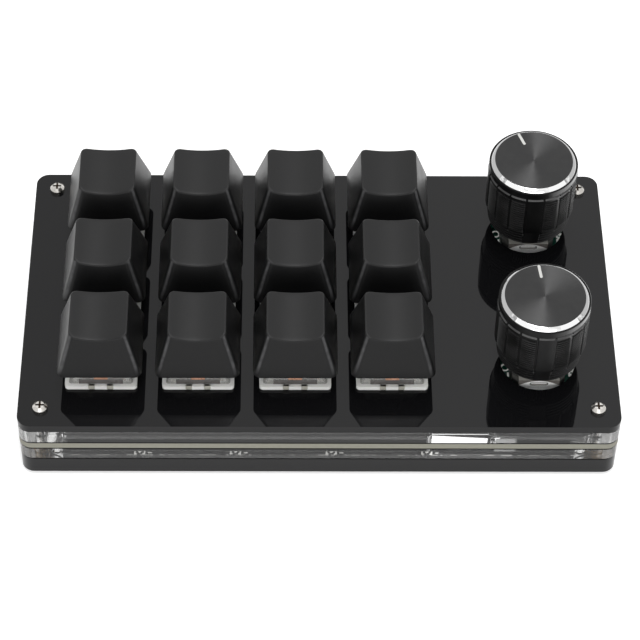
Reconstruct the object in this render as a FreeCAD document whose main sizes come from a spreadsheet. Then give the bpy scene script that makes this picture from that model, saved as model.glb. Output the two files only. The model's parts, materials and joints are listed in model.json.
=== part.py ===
"""Macro keypad with twelve keys and two rotary knobs, in millimetres.

The case is a stack of flat sheets: base plate, clear lower frame, circuit board,
clear upper frame and gloss top plate, held by four corner screws.
X points right, Y to the back and Z up; the origin lies under the middle of the
case, on the surface that the rubber feet stand on.
"""
import FreeCAD, Part
import math
import os

import Sketcher
from FreeCAD import Rotation, Vector

CORNERS_EACH_WAY = 2
KNOBS = {"front": "0", "rear": "places.knob_pitch"}
POINTER_TURNS = {"front": 10.0, "rear": 24.6}
KNOB_PANELS = 16
KNOB_RINGS = 3
BACK_TERMINALS = 2
FRONT_TERMINALS = 3

# Driving dimensions, all in millimetres
SIZES = {
    # Case outline, shared by every layer
    "case_wide": 130.3,
    "case_deep": 73.6,
    "case_round": 2.9,
    "screw_inset_x": 4.9,
    "screw_inset_y": 4.8,
    # Layers, from the bottom up
    "foot_thick": 1.0,
    "base_thick": 4.5,
    "lower_frame_thick": 4.0,
    "board_thick": 1.6,
    "upper_frame_thick": 4.0,
    "plate_thick": 2.0,
    # Rubber feet
    "foot_wide": 8.0,
    "foot_inset": 10.0,
    # Windows in the clear frames
    "window_wall": 5.0,
    "window_round": 2.0,
    "key_wall": 8.95,
    "web_wide": 12.1,
    "knob_wall": 6.05,
    "knob_ledge": 3.0,
    "land_wide": 8.6,
    # Corner screws and the brass inserts below them
    "screw_wide": 2.0,
    "screw_long": 12.0,
    "screw_head_wide": 3.2,
    "screw_head_high": 1.4,
    "screw_head_round": 0.65,
    "screw_clearance": 0.1,
    "recess_long": 1.9,
    "recess_wide": 0.45,
    "recess_deep": 1.0,
    "insert_wide": 3.6,
    "insert_sunk": 2.5,
    # Key block, with as many columns and rows as the case has room for
    "key_pitch_x": 21.06,
    "key_pitch_y": 21.1,
    "key_block_y": 2.2,
    "cutout_wide": 14.0,
    # Switch housings; heights count from the top of the plate
    "flange_lip": 0.8,
    "flange_thick": 1.0,
    "flange_round": 0.8,
    "housing_fit": 0.05,
    "housing_deep": 5.0,
    "housing_wall": 1.0,
    "housing_floor": 1.2,
    "post_wide": 4.0,
    "post_long": 3.5,
    "post_floor": 0.5,
    "cover_high": 5.6,
    "cover_top_wide": 11.0,
    "cover_top_deep": 10.0,
    "cover_wall": 0.8,
    "cover_round": 0.6,
    "clip_wide": 1.2,
    "clip_thick": 0.7,
    "clip_arm_thick": 0.3,
    "clip_apart": 3.9,
    # Switch stem
    "travel": 4.0,
    "stem_wide": 7.2,
    "stem_deep": 5.8,
    "stem_long": 5.4,
    "stem_stand": 0.4,
    "stem_fit": 0.15,
    "lip_wide": 9.0,
    "lip_deep": 7.4,
    "lip_thick": 0.8,
    "lip_gap": 0.1,
    "cross_long": 4.0,
    "cross_bar": 1.2,
    "cross_high": 3.6,
    "rod_wide": 1.8,
    "rod_fit": 0.15,
    "stem_roof": 1.2,
    "bottom_gap": 0.1,
    # Return spring, drawn as the sleeve that its turns fill
    "spring_wide": 4.4,
    "spring_wire": 0.4,
    "spring_fit": 0.25,
    # Switch contacts and their solder pins
    "leaf_thick": 0.3,
    "leaf_wide": 3.2,
    "leaf_high": 6.4,
    "pin_wide": 1.0,
    "pin_out": 0.9,
    "pin_clearance": 0.2,
    "left_pin_x": -2.54,
    "left_pin_y": -5.08,
    "right_pin_x": 3.81,
    "right_pin_y": -2.54,
    "leaf_foot_thick": 0.6,
    # Keycap; heights count from its own lower edge
    "cap_room": 0.9,
    "cap_front": 0.6,
    "cap_round": 1.8,
    "cap_top_wide": 12.4,
    "cap_top_deep": 13.0,
    "cap_top_forward": 0.1,
    "cap_top_round": 1.5,
    "cap_high": 10.3,
    "cap_lift": 6.5,
    "dish_deep": 1.1,
    "cap_edge_round": 0.4,
    "cap_wall": 1.3,
    "cap_roof": 1.5,
    "cap_post_wide": 5.5,
    "cap_post_gap": 0.2,
    "cross_fit": 0.05,
    # Knobs and their places
    "knob_inset_front": 18.45,
    "knob_inset_back": 15.55,
    "knob_hole_gap": 2.0,
    "knob_wide": 20.0,
    "knob_high": 17.8,
    "knob_lift": 4.2,
    "knob_ring_step": 0.4,
    "knob_ring_wide": 0.8,
    "knob_ring_drop": 0.7,
    "knob_collar_wide": 19.8,
    "knob_collar_high": 1.9,
    "knob_foot_wide": 18.4,
    "knob_foot_high": 4.2,
    "knob_groove_wide": 0.5,
    "knob_groove_deep": 0.3,
    "knob_line_wide": 0.4,
    "knob_line_deep": 0.2,
    "knob_wall_thick": 1.3,
    "knob_roof": 5.0,
    "knob_hub_wide": 9.0,
    "knob_hub_gap": 1.6,
    "pointer_long": 3.6,
    "pointer_wide": 0.75,
    "pointer_deep": 0.25,
    # Rotary encoders; heights count from the top of the board
    "press": 0.5,
    "encoder_wide": 11.6,
    "encoder_deep": 11.2,
    "encoder_chamfer": 1.3,
    "encoder_base_high": 5.6,
    "encoder_floor": 0.8,
    "bracket_deep": 12.4,
    "bracket_sheet": 0.5,
    "bracket_top_thick": 1.2,
    "bracket_tab_wide": 8.9,
    "bracket_tab_long": 5.6,
    "bracket_slot_long": 3.8,
    "bracket_slot_high": 0.9,
    "bracket_slot_round": 0.4,
    "bracket_slot_low": 1.2,
    "bushing_wide": 7.0,
    "bushing_long": 5.0,
    "shaft_wide": 6.0,
    "shaft_long": 15.0,
    "shaft_fit": 0.05,
    "shaft_flat": 1.5,
    "shaft_flat_long": 9.0,
    "spigot_wide": 2.6,
    "spigot_fit": 0.1,
    "rotor_wide": 9.0,
    "rotor_thick": 2.2,
    "rotor_gap": 0.3,
    "terminal_wide": 0.8,
    "terminal_high": 1.2,
    "terminal_out": 1.0,
    "front_terminal_pitch": 2.5,
    "back_terminal_pitch": 5.0,
    # Socket for the cable, under the back edge of the board
    "socket_to_knob": 17.0,
    "socket_wide": 8.94,
    "socket_high": 3.2,
    "socket_long": 7.3,
    "socket_round": 1.3,
    "socket_wall": 0.3,
    "socket_notch_gap": 0.4,
    "tongue_wide": 6.6,
    "tongue_thick": 0.7,
    "tongue_sunk": 1.0,
    "tongue_reach": 5.8,
    # Chips under the board
    "chip_wide": 7.0,
    "chip_thick": 0.9,
    "chip_inset": 28.8,
    "diode_wide": 1.7,
    "diode_deep": 1.3,
    "diode_thick": 1.0,
    "diode_right": 8.0,
    "diode_front": 9.5,
    # How far a cut runs past the face that it opens
    "overrun": 1.0,
}

# Heights and places worked out from the driving dimensions
PLACES = {
    "base_top": "dims.foot_thick + dims.base_thick",
    "board_low": "places.base_top + dims.lower_frame_thick",
    "board_top": "places.board_low + dims.board_thick",
    "plate_low": "places.board_top + dims.upper_frame_thick",
    "plate_top": "places.plate_low + dims.plate_thick",
    "screw_x": "dims.case_wide / 2 - dims.screw_inset_x",
    "screw_y": "dims.case_deep / 2 - dims.screw_inset_y",
    "knob_hole_wide": "dims.bracket_deep + 2 * dims.knob_hole_gap",
    "knob_window_wide": "places.knob_hole_wide + 2 * dims.knob_ledge",
    "knob_x": "dims.case_wide / 2 - dims.knob_wall - places.knob_window_wide / 2",
    "knob_front_y": "dims.knob_inset_front - dims.case_deep / 2",
    "knob_pitch": "dims.case_deep - dims.knob_inset_front - dims.knob_inset_back",
    "walls_wide": "dims.key_wall + dims.web_wide + dims.knob_wall",
    "key_window_wide": "dims.case_wide - places.walls_wide - places.knob_window_wide",
    "window_deep": "dims.case_deep - 2 * dims.window_wall",
    "flange_wide": "dims.cutout_wide + 2 * dims.flange_lip",
    "key_run_x": "places.key_window_wide - places.flange_wide",
    "key_run_y": "places.window_deep - 2 * abs(dims.key_block_y) - places.flange_wide",
    "key_steps_x": "floor(places.key_run_x / dims.key_pitch_x)",
    "key_steps_y": "floor(places.key_run_y / dims.key_pitch_y)",
    "key_block_x": "dims.key_wall + places.key_window_wide / 2 - dims.case_wide / 2",
    "first_key_x": "places.key_block_x - dims.key_pitch_x * places.key_steps_x / 2",
    "first_key_y": "dims.key_block_y - dims.key_pitch_y * places.key_steps_y / 2",
    "socket_x": "places.knob_x - dims.socket_to_knob",
    "chip_y": "dims.case_deep / 2 - dims.chip_inset",
    "plate_stack": "dims.plate_thick + dims.upper_frame_thick",
    "housing_wide": "dims.cutout_wide - 2 * dims.housing_fit",
    "housing_inside": "places.housing_wide - 2 * dims.housing_wall",
    "cavity_low": "dims.housing_floor - dims.housing_deep",
    "cover_roof_low": "dims.flange_thick + dims.cover_high - dims.cover_wall",
    "cover_top": "dims.flange_thick + dims.cover_high",
    "stem_top": "places.cover_top + dims.stem_stand",
    "stem_low": "places.stem_top - dims.stem_long",
    "stem_cavity_top": "places.stem_top - dims.stem_roof",
    "bore_low": "dims.post_floor - dims.post_long - dims.housing_deep",
    "rod_low": "places.bore_low + dims.travel + dims.bottom_gap",
    "spring_hole": "dims.spring_wide + 2 * dims.spring_fit",
    "cap_wide": "dims.cutout_wide + 2 * dims.cap_room + 2 * dims.cap_wall",
    "cap_deep": "places.cap_wide + dims.cap_front",
    "dish_radius": "((dims.cap_top_wide / 2)^2 + dims.dish_deep^2) / (2 * dims.dish_deep)",
    "cap_base": "places.plate_top + dims.cap_lift",
    "cap_roof_low": "dims.cap_high - dims.dish_deep - dims.cap_roof",
    "cap_post_low": "places.stem_top + dims.cap_post_gap - dims.cap_lift",
    "bracket_top": "dims.encoder_base_high + dims.bracket_top_thick",
    "bushing_top": "places.bracket_top + dims.bushing_long",
    "shaft_top": "places.bracket_top + dims.shaft_long",
    "rotor_low": "dims.encoder_floor + dims.rotor_gap",
    "rotor_hole": "dims.rotor_wide + 2 * dims.rotor_gap",
    "knob_low": "places.plate_stack + dims.knob_lift",
    "knob_hub_low": "places.bushing_top + dims.knob_hub_gap - places.knob_low",
    "knob_hollow_top": "dims.knob_high - dims.knob_roof",
    "knob_hollow_wide": "dims.knob_foot_wide - 2 * dims.knob_wall_thick",
    "knob_ring_outer": "dims.knob_collar_wide - 2 * dims.knob_ring_step",
    "knob_ring_inner": "places.knob_ring_outer - 2 * dims.knob_ring_wide",
    "terminal_y": "dims.encoder_deep / 2 + dims.terminal_wide / 2",
}


def make_table(doc):
    """Write the driving dimensions into the sheet and the worked-out ones beside it."""
    dims = doc.addObject("Spreadsheet::Sheet", "dims")
    for row, (name, size) in enumerate(SIZES.items(), start=1):
        dims.set(f"A{row}", name)
        dims.set(f"B{row}", str(size))
        dims.setAlias(f"B{row}", name)
    doc.recompute()
    places = doc.addObject("App::VarSet", "places")
    for name, formula in PLACES.items():
        places.addProperty("App::PropertyFloat", name)
        places.setExpression(name, formula)
    doc.recompute()


def new_body(doc, label, x="0", y="0", z="0"):
    """Start a sub-part whose own origin lies at x, y, z of the keypad."""
    body = doc.addObject("PartDesign::Body", label)
    body.Label = label
    for axis, formula in zip("xyz", (x, y, z)):
        if formula != "0":
            body.setExpression(f"Placement.Base.{axis}", formula)
    return body


def origin_part(body, role):
    """Return one of a body's own origin planes or axes."""
    return next(part for part in body.Origin.OriginFeatures if part.Role == role)


def new_sketch(body, name, z="0", x="0", y="0", plane="XY_Plane"):
    """Add a sketch on one of the body's origin planes, moved by x, y, z along the sketch's axes."""
    sketch = body.newObject("Sketcher::SketchObject", name)
    sketch.AttachmentSupport = (origin_part(body, plane), [""])
    sketch.MapMode = "FlatFace"
    for axis, formula in zip("xyz", (x, y, z)):
        if formula != "0":
            sketch.setExpression(f"AttachmentOffset.Base.{axis}", formula)
    return sketch


def bind(sketch, kind, places, formula):
    """Add a sketch dimension that follows a formula."""
    size = float(sketch.evalExpression(formula))
    index = sketch.addConstraint(Sketcher.Constraint(kind, *places, size))
    sketch.setExpression(f"Constraints[{index}]", formula)


def draw_circle(sketch, diameter):
    """Draw a circle about the sketch's origin."""
    radius = float(sketch.evalExpression(diameter)) / 2
    edge = sketch.addGeometry(Part.Circle(Vector(), Vector(0, 0, 1), radius), False)
    sketch.addConstraint(Sketcher.Constraint("Coincident", edge, 3, -1, 1))
    bind(sketch, "Diameter", (edge,), diameter)


def draw_outline(sketch, points):
    """Draw a closed outline of straight edges through points given as formulas."""
    values = [Vector(*(float(sketch.evalExpression(part)) for part in point)) for point in points]
    count = len(points)
    edges = [Part.LineSegment(values[i], values[(i + 1) % count]) for i in range(count)]
    first = sketch.GeometryCount
    sketch.addGeometry(edges, False)
    for i, (x, y) in enumerate(points):
        after = (i + 1) % count
        sketch.addConstraint(Sketcher.Constraint("Coincident", first + i, 2, first + after, 1))
        for kind, axis, formula in (("DistanceX", -2, x), ("DistanceY", -1, y)):
            if formula == "0":
                sketch.addConstraint(Sketcher.Constraint("PointOnObject", first + i, 1, axis))
            else:
                bind(sketch, kind, (first + i, 1), formula)


def draw_rectangle(sketch, wide, deep):
    """Draw a rectangle about the sketch's origin."""
    x, y = f"({wide}) / 2", f"({deep}) / 2"
    draw_outline(sketch, [(f"-{x}", f"-{y}"), (x, f"-{y}"), (x, y), (f"-{x}", y)])


def draw_cross(sketch, long, bar):
    """Draw a plus sign about the sketch's origin."""
    tip, side = f"({long}) / 2", f"({bar}) / 2"
    quarter = [(tip, side), (side, side), (side, tip)]
    points = quarter
    points = points + [(f"-{x}", y) for x, y in reversed(quarter)]
    points = points + [(f"-{x}", f"-{y}") for x, y in quarter]
    points = points + [(x, f"-{y}") for x, y in reversed(quarter)]
    draw_outline(sketch, points)


def draw_rounded(sketch, wide, deep, round_off):
    """Draw a rectangle with round corners about the sketch's origin."""
    half_x = float(sketch.evalExpression(wide)) / 2
    half_y = float(sketch.evalExpression(deep)) / 2
    radius = float(sketch.evalExpression(round_off))
    quarter = math.pi / 2
    up = Vector(0, 0, 1)
    corners = ((1, 1), (-1, 1), (-1, -1), (1, -1))
    middles = [Vector(sx * (half_x - radius), sy * (half_y - radius), 0) for sx, sy in corners]
    for i, middle in enumerate(middles):
        circle = Part.Circle(middle, up, radius)
        sketch.addGeometry(Part.ArcOfCircle(circle, i * quarter, (i + 1) * quarter), False)
        following = middles[(i + 1) % len(middles)]
        reach = radius * Vector(math.cos((i + 1) * quarter), math.sin((i + 1) * quarter), 0)
        sketch.addGeometry(Part.LineSegment(middle + reach, following + reach), False)
    for i in range(len(corners)):
        arc, line, after = 2 * i, 2 * i + 1, (2 * i + 2) % (2 * len(corners))
        sketch.addConstraint(Sketcher.Constraint("Tangent", arc, 2, line, 1))
        sketch.addConstraint(Sketcher.Constraint("Tangent", line, 2, after, 1))
        level = "Horizontal" if i % 2 == 0 else "Vertical"
        sketch.addConstraint(Sketcher.Constraint(level, line))
        if i:
            sketch.addConstraint(Sketcher.Constraint("Equal", 0, arc))
    bind(sketch, "Radius", (0,), round_off)
    bind(sketch, "DistanceX", (3, 1, 7, 1), wide)
    bind(sketch, "DistanceY", (5, 1, 1, 1), deep)
    bind(sketch, "DistanceY", (1, 1), f"({deep}) / 2")
    bind(sketch, "DistanceX", (7, 1), f"({wide}) / 2")


def add_pad(body, sketch, length, down=False):
    """Raise a sketch into a solid."""
    pad = body.newObject("PartDesign::Pad", f"{sketch.Name}_pad")
    pad.Profile = sketch
    pad.setExpression("Length", length)
    pad.Reversed = down
    sketch.Visibility = False
    return pad


def add_pocket(body, sketch, length=None, up=True):
    """Cut a sketch out of the solid, upwards, downwards or right through."""
    pocket = body.newObject("PartDesign::Pocket", f"{sketch.Name}_pocket")
    pocket.Profile = sketch
    if length is None:
        pocket.Type = "ThroughAll"
        pocket.Midplane = True
    else:
        pocket.setExpression("Length", length)
        pocket.Reversed = up
    return pocket


def add_loft(body, low, high, cut=False):
    """Join two sketches with a straight-sided skin, as a solid or as a cut."""
    kind = "PartDesign::SubtractiveLoft" if cut else "PartDesign::AdditiveLoft"
    loft = body.newObject(kind, f"{low.Name}_loft")
    loft.Profile = low
    loft.Sections = [high]
    loft.Ruled = True
    return loft


def add_turned(body, name, points, cut=False):
    """Turn an outline of (radius, height) points about the body's Z axis."""
    sketch = new_sketch(body, name, plane="XZ_Plane")
    draw_outline(sketch, points)
    kind = "PartDesign::Groove" if cut else "PartDesign::Revolution"
    turned = body.newObject(kind, f"{name}_turned")
    turned.Profile = sketch
    turned.ReferenceAxis = (sketch, ["V_Axis"])
    turned.Angle = 360
    return turned


def add_grid(body, step_x, count_x, step_y, count_y, features=()):
    """Repeat some features, or the whole body, in rows and columns."""
    body.Document.recompute()
    grid = body.newObject("PartDesign::MultiTransform", f"{body.Name}_grid")
    if features:
        grid.Originals = list(features)
    else:
        grid.TransformMode = "Whole shape"
        body.AllowCompound = True
    lines = (("X_Axis", step_x, count_x), ("Y_Axis", step_y, count_y))
    grid.Transformations = [add_line_of_copies(body, *line) for line in lines if line[2] > 1]
    body.Tip = grid
    return grid


def add_line_of_copies(body, axis, step, count):
    """Add one row or column of a grid."""
    line = body.newObject("PartDesign::LinearPattern", f"{body.Name}_{axis}_line")
    line.Direction = (origin_part(body, axis), [""])
    line.Mode = "Spacing"
    line.Occurrences = count
    line.setExpression("Offset", step)
    return line


def key_counts(doc):
    """Return how many columns and rows of keys the case holds."""
    return int(doc.places.key_steps_x) + 1, int(doc.places.key_steps_y) + 1


def add_key_grid(body, features=()):
    """Repeat features, or the whole body, at every key."""
    columns, rows = key_counts(body.Document)
    return add_grid(body, "dims.key_pitch_x", columns, "dims.key_pitch_y", rows, features)


def add_corner_grid(body, x, y, features=()):
    """Repeat features, or the whole body, at the four corners x, y away from the middle."""
    steps = (f"2 * ({x})", f"2 * ({y})")
    return add_grid(body, steps[0], CORNERS_EACH_WAY, steps[1], CORNERS_EACH_WAY, features)


def add_knob_grid(body, features=()):
    """Repeat features, or the whole body, at both knobs."""
    return add_grid(body, "places.knob_pitch", 1, "places.knob_pitch", len(KNOBS), features)


def add_layer(doc, label, z, thick):
    """Make one sheet of the case with its round corners."""
    body = new_body(doc, label, z=z)
    outline = new_sketch(body, f"{label}_outline")
    draw_rounded(outline, "dims.case_wide", "dims.case_deep", "dims.case_round")
    add_pad(body, outline, thick)
    return body


def drill_corners(body, diameter):
    """Drill the four corner screw holes right through a sheet."""
    hole = new_sketch(body, f"{body.Name}_screw_hole", x="-places.screw_x", y="-places.screw_y")
    draw_circle(hole, diameter)
    pocket = add_pocket(body, hole)
    add_corner_grid(body, "places.screw_x", "places.screw_y", [pocket])


def make_base_plate(doc):
    """Make the thick bottom sheet, bored for the brass inserts."""
    body = add_layer(doc, "base_plate", "dims.foot_thick", "dims.base_thick")
    place = ("dims.base_thick - dims.insert_sunk", "-places.screw_x", "-places.screw_y")
    seat = new_sketch(body, "insert_seat", *place)
    draw_circle(seat, "dims.insert_wide")
    pocket = add_pocket(body, seat, "dims.insert_sunk + dims.overrun")
    add_corner_grid(body, "places.screw_x", "places.screw_y", [pocket])
    return body


def make_rubber_feet(doc):
    """Make the four round feet under the base plate."""
    x = "dims.case_wide / 2 - dims.foot_inset"
    y = "dims.case_deep / 2 - dims.foot_inset"
    body = new_body(doc, "rubber_feet", f"-({x})", f"-({y})")
    outline = new_sketch(body, "foot_outline")
    draw_circle(outline, "dims.foot_wide")
    add_pad(body, outline, "dims.foot_thick")
    add_corner_grid(body, x, y)
    return body


def add_screw_lands(body, thick):
    """Add the round lands that carry the screws inside a frame's window."""
    land = new_sketch(body, f"{body.Name}_land", x="-places.screw_x", y="-places.screw_y")
    draw_circle(land, "dims.land_wide")
    pad = add_pad(body, land, thick)
    add_corner_grid(body, "places.screw_x", "places.screw_y", [pad])


def cut_window(body, name, x, wide):
    """Cut one round-cornered window through a frame."""
    window = new_sketch(body, name, x=x)
    draw_rounded(window, wide, "places.window_deep", "dims.window_round")
    add_pocket(body, window)


def make_lower_frame(doc):
    """Make the clear frame below the board, with one window and a notch for the socket."""
    body = add_layer(doc, "lower_frame", "places.base_top", "dims.lower_frame_thick")
    cut_window(body, "lower_window", "0", "dims.case_wide - 2 * dims.window_wall")
    add_screw_lands(body, "dims.lower_frame_thick")
    notch = new_sketch(body, "socket_notch", x="places.socket_x", y="dims.case_deep / 2")
    notch_wide = "dims.socket_wide + 2 * dims.socket_notch_gap"
    draw_rectangle(notch, notch_wide, "2 * (dims.window_wall + dims.overrun)")
    add_pocket(body, notch)
    drill_corners(body, "dims.insert_wide")
    return body


def make_circuit_board(doc):
    """Make the board with the holes for posts, pins, terminals and screws."""
    body = add_layer(doc, "circuit_board", "places.board_low", "dims.board_thick")
    pin_hole = "dims.pin_wide + 2 * dims.pin_clearance"
    holes = {
        "post_hole": ("0", "0", "dims.post_wide + 2 * dims.pin_clearance"),
        "left_pin_hole": ("dims.left_pin_x", "dims.left_pin_y", pin_hole),
        "right_pin_hole": ("dims.right_pin_x", "dims.right_pin_y", pin_hole),
    }
    for name, (x, y, diameter) in holes.items():
        hole = new_sketch(body, name, x=f"places.first_key_x + {x}", y=f"places.first_key_y + {y}")
        draw_circle(hole, diameter)
        pocket = add_pocket(body, hole)
        add_key_grid(body, [pocket])
    for name, count, pitch, side in terminal_rows():
        x = f"places.knob_x - ({pitch}) * {count - 1} / 2"
        y = f"places.knob_front_y {side} places.terminal_y"
        hole = new_sketch(body, f"{name}_terminal_hole", x=x, y=y)
        draw_circle(hole, "dims.terminal_wide * sqrt(2) + dims.pin_clearance")
        pocket = add_pocket(body, hole)
        add_grid(body, pitch, count, "places.knob_pitch", len(KNOBS), [pocket])
    drill_corners(body, "dims.screw_wide + 2 * dims.screw_clearance")
    return body


def terminal_rows():
    """Return name, count, pitch and side of an encoder's two rows of terminals."""
    return (
        ("front", FRONT_TERMINALS, "dims.front_terminal_pitch", "-"),
        ("back", BACK_TERMINALS, "dims.back_terminal_pitch", "+"),
    )


def make_upper_frame(doc):
    """Make the clear frame above the board, with a window for keys and one for knobs."""
    body = add_layer(doc, "upper_frame", "places.board_top", "dims.upper_frame_thick")
    cut_window(body, "key_window", "places.key_block_x", "places.key_window_wide")
    cut_window(body, "knob_window", "places.knob_x", "places.knob_window_wide")
    drill_corners(body, "dims.screw_wide + 2 * dims.screw_clearance")
    return body


def make_top_plate(doc):
    """Make the gloss plate with twelve square cut-outs and two round holes."""
    body = add_layer(doc, "top_plate", "places.plate_low", "dims.plate_thick")
    cutout = new_sketch(body, "switch_cutout", x="places.first_key_x", y="places.first_key_y")
    draw_rectangle(cutout, "dims.cutout_wide", "dims.cutout_wide")
    add_key_grid(body, [add_pocket(body, cutout)])
    hole = new_sketch(body, "knob_hole", x="places.knob_x", y="places.knob_front_y")
    draw_circle(hole, "places.knob_hole_wide")
    add_knob_grid(body, [add_pocket(body, hole)])
    drill_corners(body, "dims.screw_wide + 2 * dims.screw_clearance")
    return body


def make_corner_screws(doc):
    """Make the four pan-head screws with their cross recess."""
    body = new_body(doc, "corner_screws", "-places.screw_x", "-places.screw_y", "places.plate_top")
    head, shank = "dims.screw_head_wide / 2", "dims.screw_wide / 2"
    add_turned(body, "screw_profile", [
        ("0", "-dims.screw_long"),
        (shank, "-dims.screw_long"),
        (shank, "0"),
        (head, "0"),
        (head, "dims.screw_head_high - dims.screw_head_round"),
        (f"{head} - dims.screw_head_round", "dims.screw_head_high"),
        ("0", "dims.screw_head_high"),
    ])
    recess = new_sketch(body, "recess", "dims.screw_head_high - dims.recess_deep")
    draw_cross(recess, "dims.recess_long", "dims.recess_wide")
    add_pocket(body, recess, "dims.recess_deep + dims.overrun")
    add_corner_grid(body, "places.screw_x", "places.screw_y")
    return body


def make_corner_inserts(doc):
    """Make the brass inserts, from inside the base plate up to the board."""
    place = ("-places.screw_x", "-places.screw_y", "places.base_top - dims.insert_sunk")
    body = new_body(doc, "corner_inserts", *place)
    outline = new_sketch(body, "insert_outline")
    draw_circle(outline, "dims.insert_wide")
    add_pad(body, outline, "dims.insert_sunk + dims.lower_frame_thick")
    bore = new_sketch(body, "insert_bore")
    draw_circle(bore, "dims.screw_wide")
    add_pocket(body, bore)
    add_corner_grid(body, "places.screw_x", "places.screw_y")
    return body


def new_switch_body(doc, label):
    """Start a sub-part at the first switch, on the top of the plate."""
    return new_body(doc, label, "places.first_key_x", "places.first_key_y", "places.plate_top")


def clip_places():
    """Return name, side and shift of the clips, two at the front and two at the back."""
    return [(f"{end}_{side}", sx, sy)
            for end, sy in (("front", "-"), ("back", "+"))
            for side, sx in (("left", "-"), ("right", "+"))]


def make_lower_housings(doc):
    """Make the switch housings: flange on the plate, body through it and post into the board."""
    body = new_switch_body(doc, "switch_lower_housings")
    flange = new_sketch(body, "flange")
    draw_rounded(flange, "places.flange_wide", "places.flange_wide", "dims.flange_round")
    add_pad(body, flange, "dims.flange_thick")
    shell = new_sketch(body, "housing_shell")
    draw_rectangle(shell, "places.housing_wide", "places.housing_wide")
    add_pad(body, shell, "dims.housing_deep", down=True)
    post = new_sketch(body, "housing_post", "-dims.housing_deep")
    draw_circle(post, "dims.post_wide")
    add_pad(body, post, "dims.post_long", down=True)
    cavity = new_sketch(body, "housing_cavity", "places.cavity_low")
    draw_rectangle(cavity, "places.housing_inside", "places.housing_inside")
    add_pocket(body, cavity, "dims.housing_deep + dims.flange_thick")
    bore = new_sketch(body, "rod_bore", "places.bore_low")
    draw_circle(bore, "dims.rod_wide + 2 * dims.rod_fit")
    add_pocket(body, bore, "places.cavity_low - places.bore_low + dims.overrun")
    for side in ("left", "right"):
        slot = new_sketch(body, f"{side}_pin_slot", x=f"dims.{side}_pin_x", y=f"dims.{side}_pin_y")
        draw_rectangle(slot, "dims.pin_wide", "dims.leaf_thick")
        add_pocket(body, slot, "dims.housing_deep + dims.overrun", up=False)
    for name, side_x, side_y in clip_places():
        x = f"{side_x} dims.clip_apart / 2"
        y = f"{side_y} (places.flange_wide - dims.clip_thick) / 2"
        notch = new_sketch(body, f"{name}_notch", x=x, y=y)
        draw_rectangle(notch, "dims.clip_wide", "dims.clip_thick")
        add_pocket(body, notch)
    add_key_grid(body)
    return body


def make_upper_housings(doc):
    """Make the switch covers, hollow, with an opening for the stem and four clips."""
    body = new_switch_body(doc, "switch_upper_housings")
    low = new_sketch(body, "cover_low", "dims.flange_thick")
    draw_rounded(low, "places.housing_wide", "places.housing_wide", "dims.cover_round")
    high = new_sketch(body, "cover_high", "places.cover_top")
    draw_rounded(high, "dims.cover_top_wide", "dims.cover_top_deep", "dims.cover_round")
    add_loft(body, low, high)
    inner_low = new_sketch(body, "cover_inner_low", "dims.flange_thick")
    inside = "places.housing_wide - 2 * dims.cover_wall"
    draw_rectangle(inner_low, inside, inside)
    inner_high = new_sketch(body, "cover_inner_high", "places.cover_roof_low")
    inner_wide = "dims.cover_top_wide - 2 * dims.cover_wall"
    inner_deep = "dims.cover_top_deep - 2 * dims.cover_wall"
    draw_rectangle(inner_high, inner_wide, inner_deep)
    add_loft(body, inner_low, inner_high, cut=True)
    opening = new_sketch(body, "stem_opening")
    opening_wide = "dims.stem_wide + 2 * dims.stem_fit"
    draw_rectangle(opening, opening_wide, "dims.stem_deep + 2 * dims.stem_fit")
    add_pocket(body, opening)
    for name, side_x, side_y in clip_places():
        x = f"{side_x} dims.clip_apart / 2"
        reach = "(places.flange_wide - places.housing_wide) / 2 + dims.cover_wall"
        y = f"{side_y} (places.flange_wide - ({reach})) / 2"
        arm = new_sketch(body, f"{name}_clip_arm", "dims.flange_thick", x, y)
        draw_rectangle(arm, "dims.clip_wide", reach)
        add_pad(body, arm, "dims.clip_arm_thick")
        y = f"{side_y} (places.flange_wide - dims.clip_thick) / 2"
        hook = new_sketch(body, f"{name}_clip_hook", x=x, y=y)
        draw_rectangle(hook, "dims.clip_wide", "dims.clip_thick")
        add_pad(body, hook, "dims.flange_thick + dims.clip_arm_thick")
    add_key_grid(body)
    return body


def make_contacts(doc):
    """Make the two spring leaves of every switch with the pins that go through the board."""
    body = new_switch_body(doc, "switch_contacts")
    body.AllowCompound = True
    pin_long = "places.plate_stack + dims.board_thick + dims.pin_out + places.cavity_low"
    for side in ("left", "right"):
        x, y = f"dims.{side}_pin_x", f"dims.{side}_pin_y"
        pin = new_sketch(body, f"{side}_pin", "places.cavity_low", x, y)
        draw_rectangle(pin, "dims.pin_wide", "dims.leaf_thick")
        add_pad(body, pin, pin_long, down=True)
        leaf = new_sketch(body, f"{side}_leaf", "places.cavity_low", x, "dims.left_pin_y")
        draw_rectangle(leaf, "dims.leaf_wide", "dims.leaf_thick")
        add_pad(body, leaf, "dims.leaf_high")
    run = "dims.right_pin_y - dims.left_pin_y"
    foot = new_sketch(body, "right_leaf_foot", "places.cavity_low", "dims.right_pin_x",
                      "(dims.right_pin_y + dims.left_pin_y) / 2")
    draw_rectangle(foot, "dims.pin_wide", f"{run} + dims.leaf_thick")
    add_pad(body, foot, "dims.leaf_foot_thick")
    add_key_grid(body)
    return body


def make_first_spring(doc, label):
    """Make the return spring's sleeve, from the housing floor to the roof of the stem."""
    body = new_switch_body(doc, label)
    length = "places.stem_cavity_top - places.cavity_low"
    outline = new_sketch(body, "spring_outline", "places.cavity_low")
    draw_circle(outline, "dims.spring_wide")
    add_pad(body, outline, length)
    inside = new_sketch(body, "spring_inside")
    draw_circle(inside, "dims.spring_wide - 2 * dims.spring_wire")
    add_pocket(body, inside)
    return body


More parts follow.
